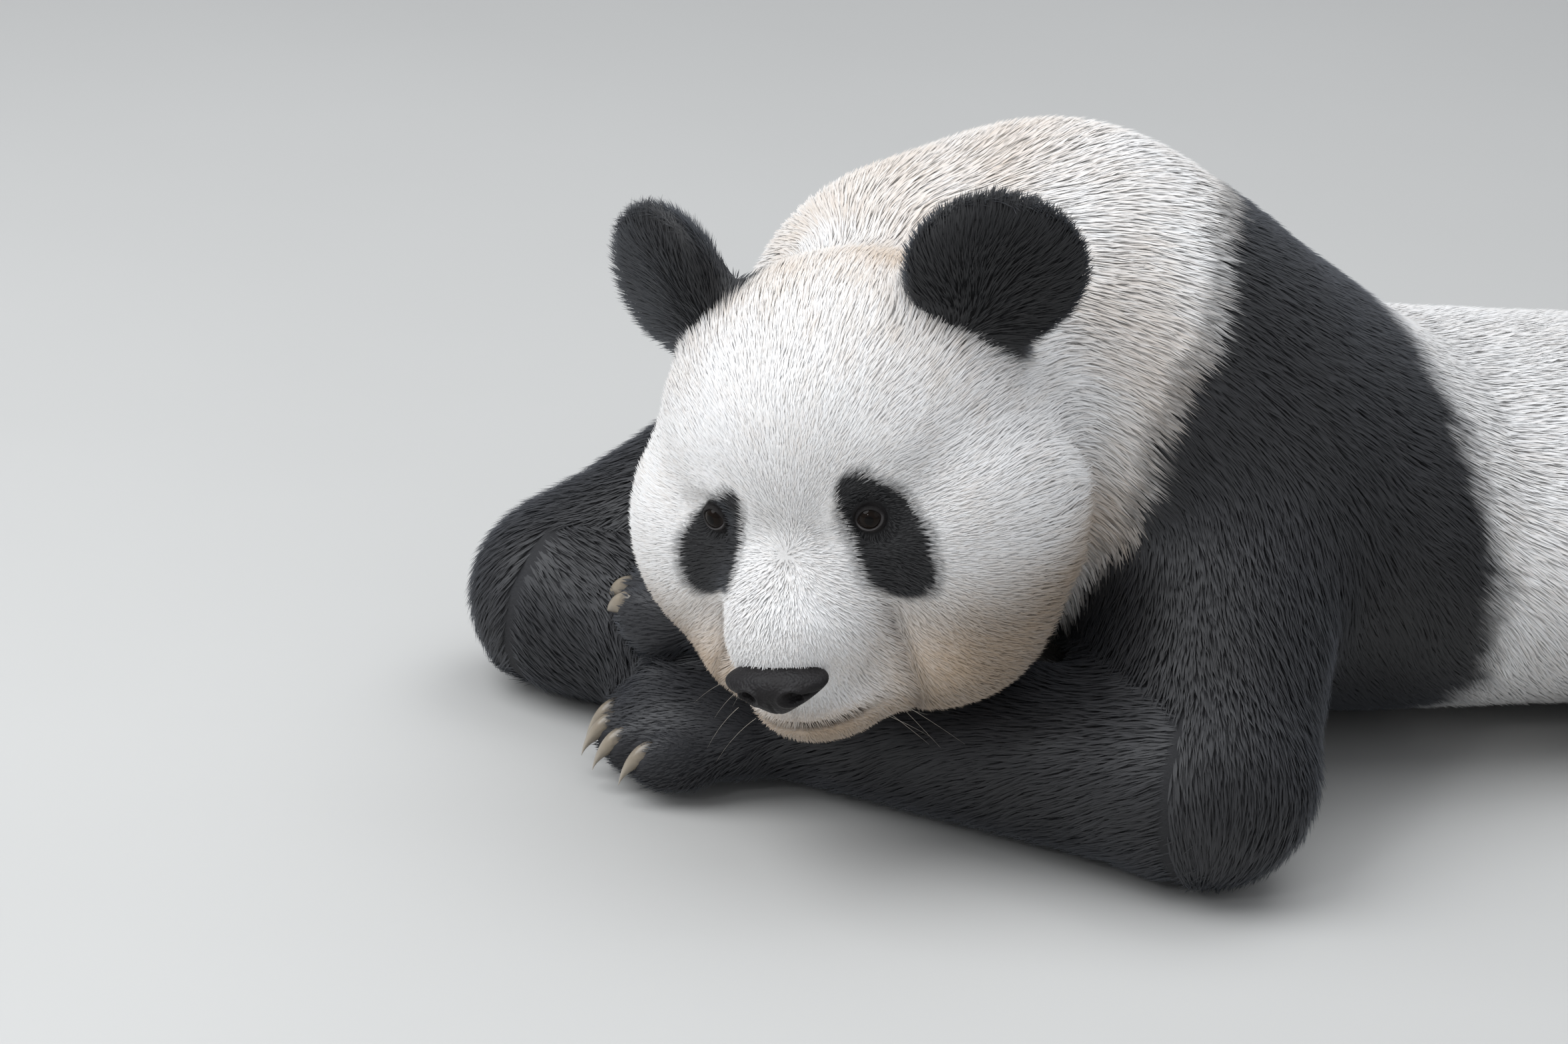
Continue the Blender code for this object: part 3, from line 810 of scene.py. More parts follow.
corners = skinPoints[triangles]
areas = np.linalg.norm(np.cross(corners[:, 1] - corners[:, 0], corners[:, 2] - corners[:, 0]), axis=1) / 2
skinCoat = coatValues(skinPoints, skinShares)
wanted = areas / skinCoat[2][triangles].mean(1) ** 2
rng = np.random.default_rng(growthSettings["seed"])
total = np.cumsum(wanted)
tuftCount = int(total[-1])
places = (np.arange(tuftCount) + rng.uniform(0, 1, tuftCount)) * (total[-1] / tuftCount)
onTriangle = np.minimum(np.searchsorted(total, places), len(triangles) - 1)
first, second = rng.uniform(0, 1, (2, len(onTriangle)))
over = first + second > 1
first[over], second[over] = 1 - first[over], 1 - second[over]
mix = np.stack([1 - first - second, first, second], -1)


def atRoots(values):
    # values at the roots, mixed from the corners of the triangle that each root lies on
    return (values[triangles[onTriangle]] * mix[..., None]).sum(1)


roots = {"points": atRoots(skinPoints), "normals": unit(atRoots(skinNormals)),
         "uv": (skinUv[triangleLoops[onTriangle]] * mix[..., None]).sum(1)}
rootShares = {name: atRoots(share[:, None])[:, 0] for name, share in skinShares.items()}
roots["depth"], roots["length"], _, roots["width"] = atRoots(skinCoat.T).T
roots["bare"] = atRoots(skinBare[:, None])[:, 0]
roots["blackness"] = blackness(roots["points"], rootShares)
roots["stainShadeAndSheen"] = stainShadeAndSheen(roots["points"], rootShares)
roots["lie"] = coatLie(roots["points"], rootShares)
print("coat:", len(onTriangle), "roots")


noseSettings = {
    "at": (0.0, -0.1708, -0.0610), "half": 0.0330, "deep": 0.0185, "top": 0.0125, "bottom": 0.0215,
    "narrow": 0.66, "nostrilAt": (0.0155, -0.0030), "nostrilHalf": (0.0052, 0.0040), "nostrilDepth": 0.0080,
    "wing": 0.0014, "wingHalf": (0.0085, 0.0068), "groove": 0.0014,
}
clawSettings = {
    "from": -0.1150, "length": 0.036, "radius": 0.0066, "tip": 0.0008, "rootInside": 0.016, "narrow": 0.80,
    "rings": 20, "around": 14,
}


def clawPoints(name):
    # each claw is an oval tube that thins along a downward curve, rounded at both ends
    place, turn, stretch = pawFrame(name)
    part = np.linspace(0, 1, clawSettings["rings"])[None, :, None]
    around = np.linspace(0, 2 * math.pi, clawSettings["around"], endpoint=False)[None, None, :]
    toe = np.arange(-2, 3)[:, None, None]
    run = -clawSettings["rootInside"] + (clawSettings["length"] + clawSettings["rootInside"]) * part
    share = np.clip(run / clawSettings["length"], 0, 1)
    radius = (clawSettings["radius"] * (1 - share ** 2.0) + clawSettings["tip"]) * np.sqrt(
        1 - (1 - np.clip(part / 0.08, 0, 1)) ** 2 * 0.75) * np.sqrt(np.clip((1.02 - part) / 0.06, 0.02, 1))
    across = toe * pawSettings["toePitch"] + radius * np.cos(around) * clawSettings["narrow"]
    reach = clawSettings["from"] + pawSettings["toeCurve"] * toe ** 2 - run * (1 - 0.42 * share)
    drop = -0.002 - pawSettings["places"][name][3] * share ** 1.6
    tall = drop + radius * np.sin(around) * (1.12 + 0.1 * (np.sin(around) < 0))
    local = np.stack(np.broadcast_arrays(across, reach, tall), -1)
    tubes, ends = (placeShift + place + (found * stretch) @ turn.T
                   for found in (local, local[:, [0, -1]].mean(2)))
    return tubes, ends, share


def clawDistance(points):
    # least distance of the roots on the paws from the middle line of a claw, and the share of the
    # claw's length that lies before that place
    near = np.nonzero(pairShare(rootShares, "forepaw", "hindpaw") > 0.2)[0]
    far, share = np.full(len(points), 1.0), np.zeros(len(points))
    for name in pawSettings["places"]:
        tubes, _, shares = clawPoints(name)
        for line in tubes.mean(2):
            off = np.linalg.norm(points[near, None] - line, axis=2)
            closer = off.min(1) < far[near]
            share[near] = np.where(closer, shares[0, off.argmin(1), 0], share[near])
            far[near] = np.where(closer, off.min(1), far[near])
    return far, share


def growCoat():
    # each tuft leaves the skin at a slant along the lie, and its tip is brought to an even height;
    # noise swirls the lie and draws the tips together; round the eyes the coat is short and points
    # away from them, and the ruff on the cheeks is longer and looser
    points, normals, length = roots["points"], roots["normals"], roots["length"].copy()
    count = len(points)
    inHead = toHead(points)
    fromWhorl = offWhorl(inHead)
    swirl = growthSettings["swirl"] * (1 + 2.5 * hump(fromWhorl, 0.016))
    lie = laidFlat(roots["lie"], normals) + swirl[:, None] * cloud(points, 0.030, 31, 3)
    lie = lie + growthSettings["jitter"] * rng.normal(0, 1, (count, 3))
    height, front = mouthLine(inHead)
    nearLip = (front * hump(height, 0.006))[:, None]
    outward = np.sign(inHead[:, :1]) * headAxes[:, 0] + headAxes[:, 1] - 0.2 * headAxes[:, 2]
    lie = lie * (1 - nearLip) + outward * nearLip
    far, way = eyeDistance(points)
    nearEye = (1 - eased(far, 0.009, 0.020))[:, None]
    lie = unit(laidFlat(lie * (1 - nearEye) + way * nearEye * 1.3, normals))
    length *= 1 + growthSettings["lengthSpread"] * rng.normal(0, 1, count).clip(-1.6, 2.2)
    length *= 0.45 + 0.55 * eased(far, 0.009, 0.024)
    length *= 1 - 0.55 * front * eased(height, -0.022, -0.004) * eased(0.018 - height, 0, 0.008)
    offNose = np.linalg.norm((inHead - noseSettings["at"]) / (0.036, 0.030, 0.024), axis=1)
    length *= 0.40 + 0.60 * eased(offNose, 0.9, 1.9)
    ruff = (rootShares["head"] * eased(inHead[:, 1], -0.070, 0.000)
            * eased(0.045 - inHead[:, 2], 0, 0.06) * eased(np.abs(inHead[:, 0]), 0.050, 0.090))
    length *= (1 + growthSettings["ruffLength"] * ruff) * (1 - 0.35 * hump(fromWhorl, 0.014))
    clump = growthSettings["clump"] * (1 + 2.2 * ruff)
    draw = laidFlat(cloud(points, 0.009, 32, 3), normals) * clump[:, None] * 0.3
    draw += laidFlat(cloud(points, 0.020, 33, 3), normals) * ruff[:, None] * 0.22
    clawFar, clawShare = clawDistance(points)
    length *= 1 - 0.5 * eased(0.024 - clawFar, 0, 0.012)
    widthSpread = growthSettings["widthSpread"] * rng.normal(0, 1, count).clip(-1.5, 2)
    roots["width"] = roots["width"] * (1 + widthSpread)
    rise = roots["depth"] * (1 + growthSettings["riseSpread"] * rng.normal(0, 1, count).clip(-2, 2))
    rise *= 1 + growthSettings["ruffRise"] * ruff * (1 + np.maximum(cloud(points, 0.012, 34), 0))
    tips = points + (lie * 0.92 + draw) * length[:, None] + normals * rise[:, None]
    tips -= normals * ((skinLevel(tips) - rise) * (1 - 0.6 * ruff)).clip(-0.003, 0.020)[:, None]
    bare = (far < growthSettings["eyeClear"]) | (roots["bare"] > 0.45)
    bare |= (clawFar < growthSettings["clawClear"]) & (clawShare > 0.05)
    bare |= points[:, 2] < coatSettings["floorLevel"] * 0.5
    return {"tips": tips, "side": np.cross(normals, lie), "clear": bare}


def tuftMesh(name, chosen):
    # a closed lock of four triangles: a ridge from the root to the tip over two lower side points
    normals, side = roots["normals"][chosen], grown["side"][chosen]
    half = roots["width"][chosen, None] * 0.5
    root = roots["points"][chosen] - normals * growthSettings["rootInside"]
    tip = grown["tips"][chosen]
    middle = root + (tip - root) * growthSettings["widest"] - normals * half * growthSettings["roof"]
    points = np.stack([root, middle - side * half, middle + side * half, tip], 1)
    shade = np.stack([normals, unit(normals - side * 0.05), unit(normals + side * 0.05), normals], 1)
    lowest = growthSettings["onFloor"] * (1 + roots["fleck"][chosen, None])
    points[..., 2] = np.maximum(points[..., 2], lowest)
    faces = np.array([(0, 2, 1), (3, 1, 2), (0, 1, 3), (0, 3, 2)])
    patch = np.array([(0, -0.5), (-0.5, 0), (0.5, 0), (0, 0.5)])  # the tuft's own small place on the map
    along = np.array([0, growthSettings["widest"], growthSettings["widest"], 1])
    size = points.shape[1]
    allFaces = (faces + np.arange(len(chosen))[:, None, None] * size).reshape(-1, 3)
    made = meshObject(name, points.reshape(-1, 3), allFaces)
    for key in ("stainShadeAndSheen", "fleck"):
        putValues(made, key, np.repeat(roots[key][chosen], size))
    putValues(made, "along", np.tile(along, len(chosen)))
    atRoot, atTip = roots["blackness"][chosen, None], roots["tipBlackness"][chosen, None]
    putValues(made, "blackness", (atRoot + (atTip - atRoot) * 0.8 * along ** 1.5).ravel())
    uv = roots["uv"][chosen][:, None] + patch * 0.003
    uv = uv.reshape(-1, 2)[allFaces.ravel()]
    made.data.uv_layers.new(name="OFBake").uv.foreach_set("vector", uv.astype(np.float32).ravel())
    made.data.normals_split_custom_set_from_vertices(shade.reshape(-1, 3))
    return made


roots["fleck"] = rng.uniform(0, 1, len(roots["points"]))
grown = growCoat()
roots["tipBlackness"] = blackness(grown["tips"], rootShares)
inHead = toHead(roots["points"])
region = np.full(len(roots["points"]), "Back", dtype="<U12")
provisionalY = (roots["points"] - placeShift)[:, 1]
region[provisionalY > 0.62] = "Rump"
region[provisionalY < 0.30] = "Neck"
region[rootShares["head"] > 0.5] = "Head"
region[(rootShares["head"] > 0.5) & (inHead[:, 1] < -0.055)] = "Face"
for kind, name in (("ear", "Ears"), ("foreleg", "Forelegs"), ("hindleg", "Hindlegs"),
                   ("forepaw", "Paws"), ("hindpaw", "Paws")):
    region[pairShare(rootShares, kind) > 0.5] = name
dark = roots["blackness"] > 0.5
coatPieces = []
for name in np.unique(region):
    for shade, mask in (("White", ~dark), ("Black", dark)):
        chosen = np.nonzero((region == name) & mask & ~grown["clear"])[0]
        if len(chosen) < growthSettings["leastTufts"]:
            # too few for a piece of their own: those of the face go to the head, others are left out
            if name == "Face":
                region[chosen] = "Head"
            continue
        chosen = chosen[np.argsort(provisionalY[chosen])]
        chunks = np.array_split(chosen, math.ceil(len(chosen) / growthSettings["mostTufts"]))
        for index, chunk in enumerate(chunks):
            label = f"coat{name}{shade}" + (str(index + 1) if len(chunks) > 1 else "")
            coatPieces.append((tuftMesh(label, chunk), shade))
print("coat grown:", len(coatPieces), "pieces,",
      sum(len(piece.data.polygons) for piece, _ in coatPieces), "triangles")


def eyeball(side, name):
    # a ball about the gaze, with the cornea standing out over the iris
    sphere, quads, caps = ballGrid(64, 64)
    tilt = np.arccos(np.clip(sphere[:, 2], -1, 1))
    bulge = 1 + eyeSettings["bulge"] * np.exp(-(tilt / 0.50) ** 4)
    centre, axes = eyeFrame(side)
    if side < 0:
        quads, caps = quads[:, ::-1], caps[:, ::-1]
    points = centre + (sphere * bulge[:, None] * eyeSettings["radius"]) @ axes.T
    made = mixedMesh(name, points, quads, caps)
    putValues(made, "tilt", tilt)
    putValues(made, "turn", np.arctan2(sphere[:, 1], sphere[:, 0]))
    return made


def noseShape():
    # a pebble, wide and flat above and drawn to a point below, with a comma-shaped nostril on
    # each side that runs out into a slit, a raised wing round it, and a groove down the middle
    sphere, quads, caps = ballGrid(150, 220)
    sphere = sphere[:, [0, 2, 1]] * (1, 1, -1)
    below = np.maximum(-sphere[:, 2], 0)
    wide = noseSettings["half"] * (1 - noseSettings["narrow"] * below ** 1.25)
    square = 1 + 0.10 * hump(sphere[:, 2] - 0.35, 0.4)
    local = np.stack([sphere[:, 0] * wide * square, sphere[:, 1] * noseSettings["deep"],
                      np.where(sphere[:, 2] > 0, noseSettings["top"], noseSettings["bottom"])
                      * sphere[:, 2]], -1)
    front = eased(-sphere[:, 1], 0.05, 0.5)
    side = np.abs(local[:, 0]) - noseSettings["nostrilAt"][0]
    tall = local[:, 2] - noseSettings["nostrilAt"][1]
    holeHalf, wingHalf = noseSettings["nostrilHalf"], noseSettings["wingHalf"]
    hole = np.exp(-((side / holeHalf[0]) ** 2 + (tall / holeHalf[1]) ** 2) ** 1.5)
    slit = hump(tall - 0.0016 + 0.25 * (side - 0.006), 0.0016)
    slit = slit * eased(side, 0.0, 0.004) * eased(0.019 - side, 0, 0.004)
    push = noseSettings["nostrilDepth"] * np.maximum(hole, 0.42 * slit) * front
    wing = hump(np.hypot(side / wingHalf[0], tall / wingHalf[1]) - 1, 0.22)
    push -= noseSettings["wing"] * wing * front * (1 - np.maximum(hole, slit))
    push += noseSettings["groove"] * hump(local[:, 0], 0.0011) * eased(below, 0.05, 0.4) * front
    local[:, 1] += push
    points = headOrigin + (local + np.array(noseSettings["at"])) @ headAxes.T
    return mixedMesh("nosePad", points, quads, caps)


def clawMesh(name):
    # the five claws of one paw, joined as on a ball: rings along each claw and a point at either end
    tubes, ends, share = clawPoints(name)
    rings, around = clawSettings["rings"], clawSettings["around"]
    _, quads, caps = ballGrid(rings + 1, around)
    points = np.concatenate([tubes.reshape(5, -1, 3), ends], 1)
    points[..., 2] = np.maximum(points[..., 2], growthSettings["onFloor"])
    starts = (np.arange(5) * points.shape[1])[:, None, None]
    made = mixedMesh("claws" + name[0].upper() + name[1:], points, quads + starts, caps + starts)
    faceOut(made)
    ringShare = np.broadcast_to(share[:, :, 0], (5, rings)).repeat(around, -1)
    putValues(made, "along", np.concatenate([ringShare, np.tile((0.0, 1.0), (5, 1))], 1).ravel())
    return made


whiskerSettings = {"count": 6, "length": 0.050, "radius": 0.00015, "sag": (0, 0.25, -0.55), "seed": 8}


def whiskerMesh():
    # thin tubes that taper to a point, from the sides of the muzzle and the chin
    draw = np.random.default_rng(whiskerSettings["seed"])
    count = whiskerSettings["count"] * 2
    side = np.repeat((-1, 1), whiskerSettings["count"])
    start = np.stack([side * draw.uniform(0.034, 0.050, count), draw.uniform(-0.150, -0.105, count),
                      draw.uniform(-0.110, -0.062, count)], -1)
    way = unit(np.stack([side * draw.uniform(0.7, 1.1, count), draw.uniform(-0.5, 0.35, count),
                         draw.uniform(-0.75, 0.05, count)], -1))
    length = whiskerSettings["length"] * draw.uniform(0.6, 1.15, count)
    steps, sides = 9, 3
    part = np.linspace(0, 1, steps)[:, None, None]
    around = np.linspace(0, 2 * math.pi, sides + 1)[:sides]
    sag = np.array(whiskerSettings["sag"]) * length[:, None] * part ** 2 * 0.5
    line = start + way * length[:, None] * part + sag
    one = unit(np.cross(way, (0, 0, 1)))
    two = np.cross(way, one)
    radius = whiskerSettings["radius"] * (1 - 0.85 * part)
    ring = one[:, None] * np.cos(around)[:, None] + two[:, None] * np.sin(around)[:, None]
    rings = line[:, :, None] + radius[..., None] * ring
    points = headOrigin + rings.transpose(1, 0, 2, 3).reshape(-1, 3) @ headAxes.T
    i, k = np.meshgrid(np.arange(steps - 1), np.arange(sides), indexing="ij")
    here, there, after = i * sides, (i + 1) * sides, (k + 1) % sides
    quads = np.stack([here + k, there + k, there + after, here + after], -1).reshape(-1, 4)
    caps = np.array([(2, 1, 0), (-3, -2, -1)]) % (steps * sides)
    starts = (np.arange(count) * steps * sides)[:, None, None]
    made = mixedMesh("whiskers", points, quads + starts, caps + starts)
    faceOut(made)
    return made


eyes = [eyeball(1, "eyeLeft"), eyeball(-1, "eyeRight")]
nosePad = noseShape()
claws = [clawMesh(name) for name in pawSettings["places"]]
whiskers = whiskerMesh()
print("eyes, nose, claws and whiskers made")


colourSettings = {
    "white": (0.93, 0.92, 0.91), "cream": (0.60, 0.455, 0.325), "blackRoot": (0.008, 0.008, 0.009),
    "blackTip": (0.021, 0.020, 0.020), "lip": (0.014, 0.012, 0.012), "nose": (0.009, 0.008, 0.009),
    "horn": (0.30, 0.25, 0.185), "hornDark": (0.055, 0.045, 0.036), "hornTip": (0.40, 0.35, 0.285),
    # the pale bluish black of legs and paws is dust with painted sheen
    "blackDustAndSheen": (0.058, 0.059, 0.066), "iris": (0.010, 0.006, 0.004), "sclera": (0.020, 0.014, 0.012),
    # the grey of the lid rim is a painted reflection on the wet lower lid
    "lidRimReflection": (0.105, 0.098, 0.098), "pupil": (0.002, 0.002, 0.002), "limbus": (0.006, 0.004, 0.003),
    "noseWorn": (0.018, 0.016, 0.016), "whisker": (0.62, 0.58, 0.50), "whiskerDark": (0.30, 0.26, 0.22),
    "floor": (0.52, 0.515, 0.50), "floorWorn": (0.56, 0.555, 0.54),
}


def rgba(name):
    return (*colourSettings[name], 1.0)


toneSettings = {
    "patchScale": 38.0, "patchy": 0.22, "flecky": 0.26,  # how the cream stain varies
    # painted shade: the white coat is darkened towards its roots
    "atRoot": 0.92, "toTip": 0.08,  # how dark the white coat is at its root, and what its tip adds
    # the last value below lightens the black coat towards dust with painted sheen
    "blackAtRoot": 0.20, "blackToTip": 0.45, "blackFleck": 0.25, "dustAndSheen": 0.42,
}
hairSettings = {
    "White": {"roughness": 0.62, "specular": 0.35, "sheen": 0.15, "tint": (1.0, 0.98, 0.94, 1)},
    "Black": {"roughness": 0.52, "specular": 0.45, "sheen": 0.14, "tint": (0.80, 0.87, 1.0, 1)},
}


def blankGroup(name, inputs, outputs):
    # a shader group with only its sockets
    tree = bpy.data.node_groups.new(name, "ShaderNodeTree")
    for socket, kind, value in inputs:
        made = tree.interface.new_socket(name=socket, in_out="INPUT", socket_type=kind)
        made.default_value = value
    for socket, kind in outputs:
        tree.interface.new_socket(name=socket, in_out="OUTPUT", socket_type=kind)
    return tree, tree.nodes.new("NodeGroupInput"), tree.nodes.new("NodeGroupOutput")


def feed(tree, node, values):
    # gives each named or numbered socket of the node a link or a constant
    for socket, value in values.items():
        if hasattr(value, "links"):
            tree.links.new(value, node.inputs[socket])
        else:
            node.inputs[socket].default_value = value
    return node


def mathNode(tree, operation, *values, clamp=False):
    made = tree.nodes.new("ShaderNodeMath")
    made.operation, made.use_clamp = operation, clamp
    return feed(tree, made, dict(enumerate(values))).outputs[0]


def swing(tree, value, amount):
    # swings from minus to plus half the amount as the value runs from 0 to 1
    return mathNode(tree, "MULTIPLY", mathNode(tree, "SUBTRACT", value, 0.5), amount)


def mixColour(tree, share, first, second):
    made = tree.nodes.new("ShaderNodeMix")
    made.data_type = "RGBA"
    return feed(tree, made, {0: share, 6: first, 7: second}).outputs[2]


def noiseNode(tree, scale, detail=2.0):
    place = tree.nodes.new("ShaderNodeTexCoord").outputs["Object"]
    made = tree.nodes.new("ShaderNodeTexNoise")
    return feed(tree, made, {"Scale": scale, "Detail": detail, "Vector": place}).outputs["Fac"]


def rampNode(tree, value, stops):
    # a colour ramp with its first and last stop at the ends of the list
    made = tree.nodes.new("ShaderNodeValToRGB")
    for element, (position, colour) in zip(made.color_ramp.elements, (stops[0], stops[-1])):
        element.position, element.color = position, rgba(colour)
    for position, colour in stops[1:-1]:
        made.color_ramp.elements.new(position).color = rgba(colour)
    return feed(tree, made, {0: value}).outputs[0]


def coatToneGroup():
    # white to cream by stain with painted shade and by fleck, black by marking and painted shade, the black
    # lightened by dust with painted sheen, and darker towards the root, as painted shade on the white coat
    tree, given, result = blankGroup("coatTone", [
        ("Blackness", "NodeSocketFloat", 0.0), ("StainShadeAndSheen", "NodeSocketFloat", 0.3),
        ("Along", "NodeSocketFloat", 0.5), ("Fleck", "NodeSocketFloat", 0.5)],
        [("Color", "NodeSocketColor")])
    along, fleck = given.outputs["Along"], given.outputs["Fleck"]
    patchy = swing(tree, noiseNode(tree, toneSettings["patchScale"], 3.0), toneSettings["patchy"])
    mixedStainShadeAndSheen = mathNode(tree, "ADD", given.outputs["StainShadeAndSheen"], patchy)
    mixedStainShadeAndSheen = mathNode(tree, "ADD", mixedStainShadeAndSheen, swing(tree, fleck, toneSettings["flecky"]), clamp=True)
    pale = mixColour(tree, mixedStainShadeAndSheen, rgba("white"), rgba("cream"))
    lit = mathNode(tree, "MULTIPLY_ADD", along, toneSettings["toTip"], toneSettings["atRoot"])
    pale = mixColour(tree, lit, (0, 0, 0, 1), pale)
    tipped = mathNode(tree, "MULTIPLY_ADD", along, toneSettings["blackToTip"], toneSettings["blackAtRoot"])
    flecked = mathNode(tree, "MULTIPLY", fleck, toneSettings["blackFleck"])
    tipped = mathNode(tree, "ADD", tipped, flecked, clamp=True)
    deep = mixColour(tree, tipped, rgba("blackRoot"), rgba("blackTip"))
    # the black coat lightened towards dust with painted sheen
    deep = mixColour(tree, mathNode(tree, "MULTIPLY", mixedStainShadeAndSheen, toneSettings["dustAndSheen"]), deep, rgba("blackDustAndSheen"))
    feed(tree, result, {0: mixColour(tree, given.outputs["Blackness"], pale, deep)})
    return tree


def newMaterial(name, roughness, specular):
    made = bpy.data.materials.new(name)
    made.use_nodes = True
    shader = made.node_tree.nodes["Principled BSDF"]
    feed(made.node_tree, shader, {"Roughness": roughness, "Specular IOR Level": specular})
    return made, made.node_tree, shader


def attributeValue(tree, name):
    made = tree.nodes.new("ShaderNodeAttribute")
    made.attribute_name = name
    return made.outputs["Fac"]


def toneNode(tree, along, fleck):
    # the coat's colour, from the markings stored on the piece
    made = tree.nodes.new("ShaderNodeGroup")
    made.node_tree = coatTone
    return feed(tree, made, {
        "Blackness": attributeValue(tree, "blackness"), "StainShadeAndSheen": attributeValue(tree, "stainShadeAndSheen"),
        "Along": along, "Fleck": fleck}).outputs["Color"]


def bumpFrom(tree, height, strength, distance):
    made = tree.nodes.new("ShaderNodeBump")
    feed(tree, made, {"Strength": strength, "Distance": distance, "Height": height})
    return made.outputs["Normal"]


def coatMaterial(shade):
    # hair with a soft sheen, cool on the black coat and warm on the white
    hair = hairSettings[shade]
    made, tree, shader = newMaterial(f"coat{shade}Hair", hair["roughness"], hair["specular"])
    feed(tree, shader, {
        "Base Color": toneNode(tree, attributeValue(tree, "along"), attributeValue(tree, "fleck")),
        "Sheen Weight": hair["sheen"], "Sheen Roughness": 0.5, "Sheen Tint": hair["tint"]})
    return made


def skinMaterial():
    # the tone of the coat's roots with their painted shade, bare dark lips and eye rims, a painted
    # reflection along the wet edge of each lower lid, and a fine grain
    made, tree, shader = newMaterial("pandaSkin", 0.75, 0.3)
    bare = mixColour(tree, attributeValue(tree, "bareness"), toneNode(tree, 0.25, 0.5), rgba("lip"))
    # painted reflection along the wet edge of each lower lid
    rimmed = mixColour(tree, attributeValue(tree, "rimReflection"), bare, rgba("lidRimReflection"))
    feed(tree, shader, {"Base Color": rimmed,
                        "Normal": bumpFrom(tree, noiseNode(tree, 420.0, 4.0), 0.5, 0.0015)})
    return made


def noseMaterial():
    # dark leather: small pebbles, with worn patches, set by noise, that are paler and rougher
    made, tree, shader = newMaterial("noseLeather", 0.5, 0.18)
    pebbles = tree.nodes.new("ShaderNodeTexVoronoi")
    pebbles.feature = "SMOOTH_F1"
    feed(tree, pebbles, {"Scale": 620.0, "Vector": tree.nodes.new("ShaderNodeTexCoord").outputs["Object"]})
    worn = noiseNode(tree, 90.0, 3.0)
    raised = mathNode(tree, "SUBTRACT", 1.0, pebbles.outputs["Distance"])
    feed(tree, shader, {"Base Color": mixColour(tree, worn, rgba("nose"), rgba("noseWorn")),
                        "Roughness": mathNode(tree, "MULTIPLY_ADD", worn, 0.30, 0.33),
                        "Normal": bumpFrom(tree, raised, 0.45, 0.0012)})
    return made


def clawMaterial():
    # horn, dark at the root and pale at the tip, with mottled streaks and dirt
    made, tree, shader = newMaterial("clawHorn", 0.32, 0.5)
    streaks = noiseNode(tree, 260.0, 4.0)
    place = mathNode(tree, "ADD", attributeValue(tree, "along"), swing(tree, streaks, 0.35))
    horn = rampNode(tree, place, ((0.0, "hornDark"), (0.35, "horn"), (1.0, "hornTip")))
    dirt = mathNode(tree, "MULTIPLY", noiseNode(tree, 120.0, 5.0), 0.45)
    feed(tree, shader, {"Base Color": mixColour(tree, dirt, horn, rgba("hornDark")),
                        "Normal": bumpFrom(tree, streaks, 0.25, 0.0006), "Coat Weight": 0.25})
    return made


def eyeMaterial():
    # pupil, dark brown iris with fine rays, darker limbus, and the brownish white beyond
    made, tree, shader = newMaterial("eyeSurface", 0.35, 0.0)
    tilt, turn = attributeValue(tree, "tilt"), attributeValue(tree, "turn")
    way = tree.nodes.new("ShaderNodeCombineXYZ")
    feed(tree, way, {0: mathNode(tree, "MULTIPLY", turn, 6.0), 1: tilt})
    rays = tree.nodes.new("ShaderNodeTexNoise")
    rays.noise_dimensions = "2D"
    feed(tree, rays, {"Scale": 3.0, "Detail": 4.0, "Vector": way.outputs[0]})
    rings = rampNode(tree, tilt, ((0.0, "pupil"), (0.24, "pupil"), (0.29, "iris"), (0.50, "iris"),
                                  (0.58, "limbus"), (0.72, "sclera")))
    rayed = mixColour(tree, mathNode(tree, "MULTIPLY", rays.outputs["Fac"], 0.6), rings, rgba("limbus"))
    feed(tree, shader, {"Base Color": rayed, "Coat Weight": 1.0, "Coat IOR": 1.22, "Coat Roughness": 0.02})
    return made


def plainMaterial(name, roughness, specular, noise, colours):
    # two colours mixed by noise
    made, tree, shader = newMaterial(name, roughness, specular)
    first, second = map(rgba, colours)
    feed(tree, shader, {"Base Color": mixColour(tree, noiseNode(tree, *noise), first, second)})
    return made


coatTone = coatToneGroup()
coatLooks = {shade: coatMaterial(shade) for shade in hairSettings}
skin.data.materials.append(skinMaterial())
eyeLook, clawLook = eyeMaterial(), clawMaterial()
for eye in eyes:
    eye.data.materials.append(eyeLook)
for claw in claws:
    claw.data.materials.append(clawLook)
nosePad.data.materials.append(noseMaterial())
whiskers.data.materials.append(plainMaterial("whiskerHair", 0.4, 0.5, (60.0,), ("whisker", "whiskerDark")))
for piece, shade in coatPieces:
    piece.data.materials.append(coatLooks[shade])
print("materials made")


# the skin stands for all the solids of flesh, the nose and the eyes each for their own
fleshNodes = [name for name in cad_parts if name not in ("nose", "eye_left", "eye_right")]
for piece, slot in ([(skin, "coat_white"), (nosePad, "nose_skin"), (whiskers, None)]
                    + [(eye, "eye_surface") for eye in eyes] + [(claw, None) for claw in claws]
                    + [(piece, "coat_" + shade.lower()) for piece, shade in coatPieces]):
    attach(piece, "root")
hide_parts(*fleshNodes)
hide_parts("nose")
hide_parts("eye_left")
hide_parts("eye_right")


stageSettings = {
    "floorHalf": 30.0, "world": (0.80, 0.83, 0.88, 1), "worldStrength": 0.52,
    "lampColour": (0.95, 0.975, 1.0), "lampsAim": (0, -0.15, 0.2),
}
floorMesh = meshObject("floor", np.array([(-1, -1, 0), (1, -1, 0), (1, 1, 0), (-1, 1, 0)])
                       * stageSettings["floorHalf"], np.array([(0, 1, 2, 3)]))
floorMesh.data.materials.append(plainMaterial("floorPaint", 0.7, 0.3, (1.5, 4.0), ("floor", "floorWorn")))

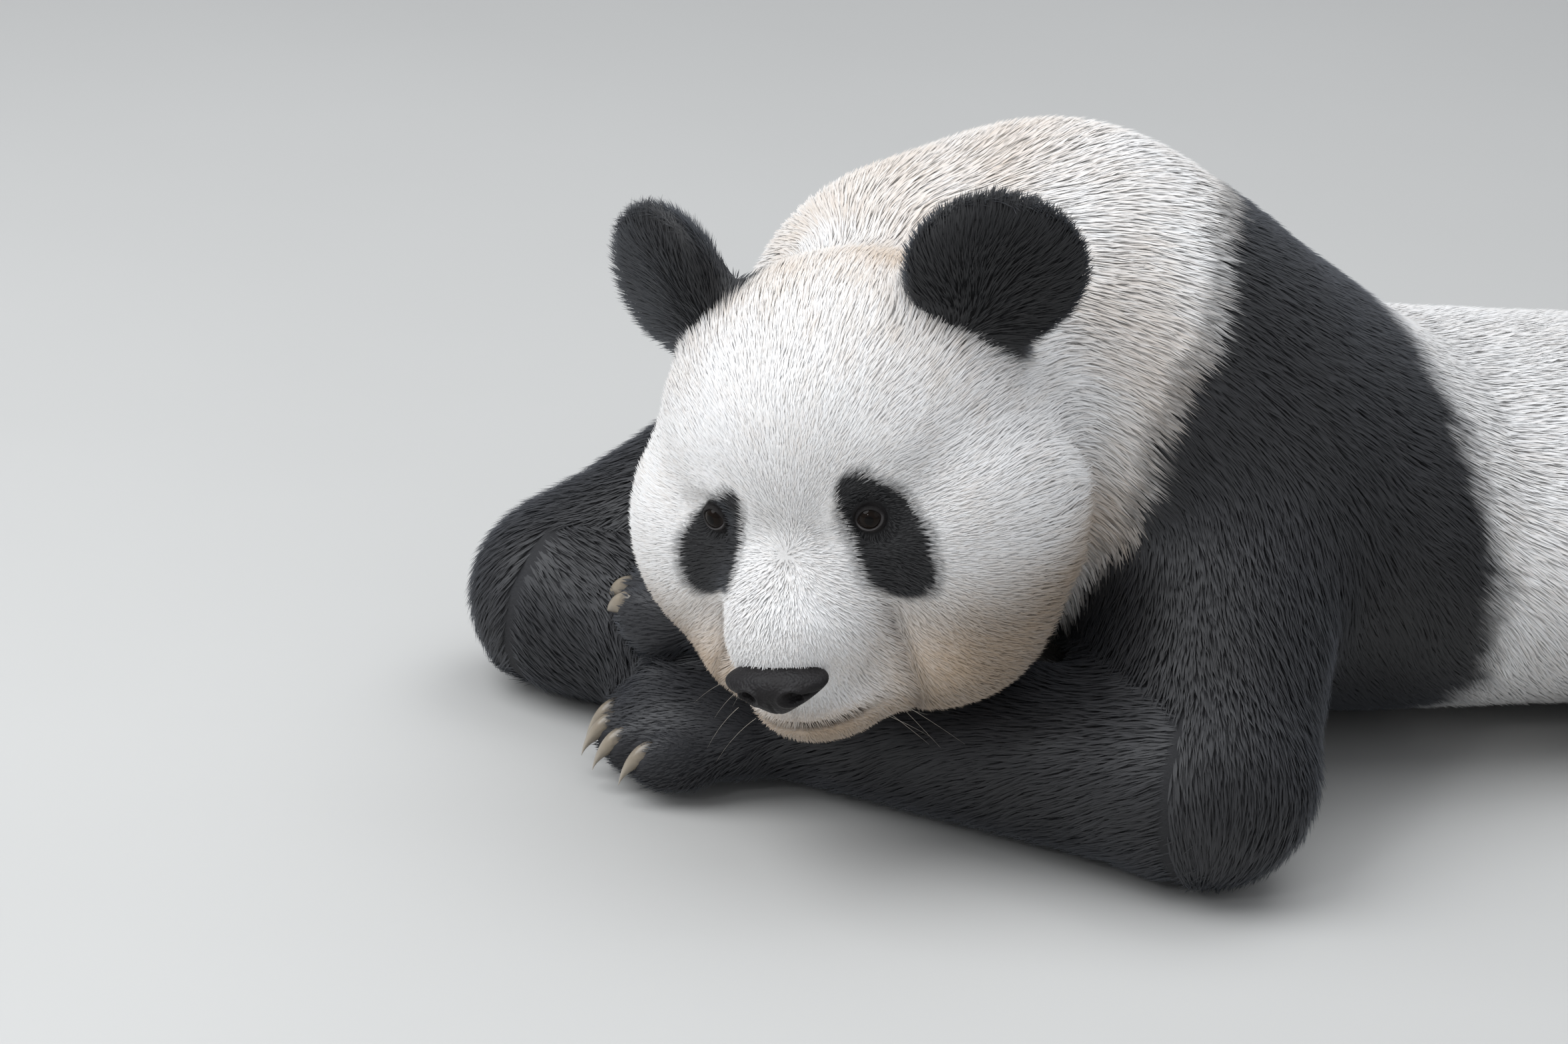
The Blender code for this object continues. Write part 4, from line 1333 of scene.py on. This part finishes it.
world = bpy.data.worlds.new("studio")
world.use_nodes = True
feed(world.node_tree, world.node_tree.nodes["Background"],
     {"Color": stageSettings["world"], "Strength": stageSettings["worldStrength"]})
bpy.context.scene.world = world

lampSettings = {  # azimuth, elevation, distance, size and power
    "key": (-20, 46, 3.2, 3.0, 84), "fill": (100, 30, 3.6, 2.6, 6), "rim": (200, 58, 3.6, 2.6, 24),
    "top": (120, 82, 3.0, 3.0, 27), "catch": (20, 26, 3.0, 0.30, 6),
}


def direction(azimuth, elevation):
    # towards a lamp or the camera: azimuth 0 is ahead of the panda, 90 on its left
    around, above = math.radians(azimuth), math.radians(elevation)
    level = math.cos(above)
    return np.array((math.sin(around) * level, -math.cos(around) * level, math.sin(above)))


for name, (azimuth, elevation, distance, size, power) in lampSettings.items():
    light = bpy.data.lights.new(name, "AREA")
    light.shape, light.size, light.energy = "DISK", size, power
    light.color = stageSettings["lampColour"]
    lamp = newObject(name, light)
    back = direction(azimuth, elevation)
    lamp.location = Vector(back * distance + stageSettings["lampsAim"])
    lamp.rotation_euler = Vector(back).to_track_quat("Z", "Y").to_euler()

cameraSettings = {"azimuth": 50, "elevation": 20, "roll": 5, "distance": 3.20, "lens": 113.3,
                  "aimRight": -0.01417, "aimUp": -0.01296}
back = direction(cameraSettings["azimuth"], cameraSettings["elevation"])
right = direction(cameraSettings["azimuth"] + 90, 0)
up = np.cross(back, right)
roll = math.radians(cameraSettings["roll"])
rolledRight = right * math.cos(roll) + up * math.sin(roll)
rolledUp = up * math.cos(roll) - right * math.sin(roll)
forward = unit(-back + rolledRight * cameraSettings["aimRight"] + rolledUp * cameraSettings["aimUp"])
sideways = unit(rolledRight - forward * (rolledRight @ forward))
camera = newObject("camera", bpy.data.cameras.new("camera"))
camera.data.lens = cameraSettings["lens"]
camera.data.clip_end = 100
camera.matrix_world = Matrix.Translation(headOrigin + back * cameraSettings["distance"]) @ Matrix(
    np.stack([sideways, np.cross(sideways, forward), -forward], -1)).to_4x4()
bpy.context.scene.camera = camera
bpy.context.scene.view_settings.view_transform = "Standard"
print("stage set")

bpy.context.view_layer.update()
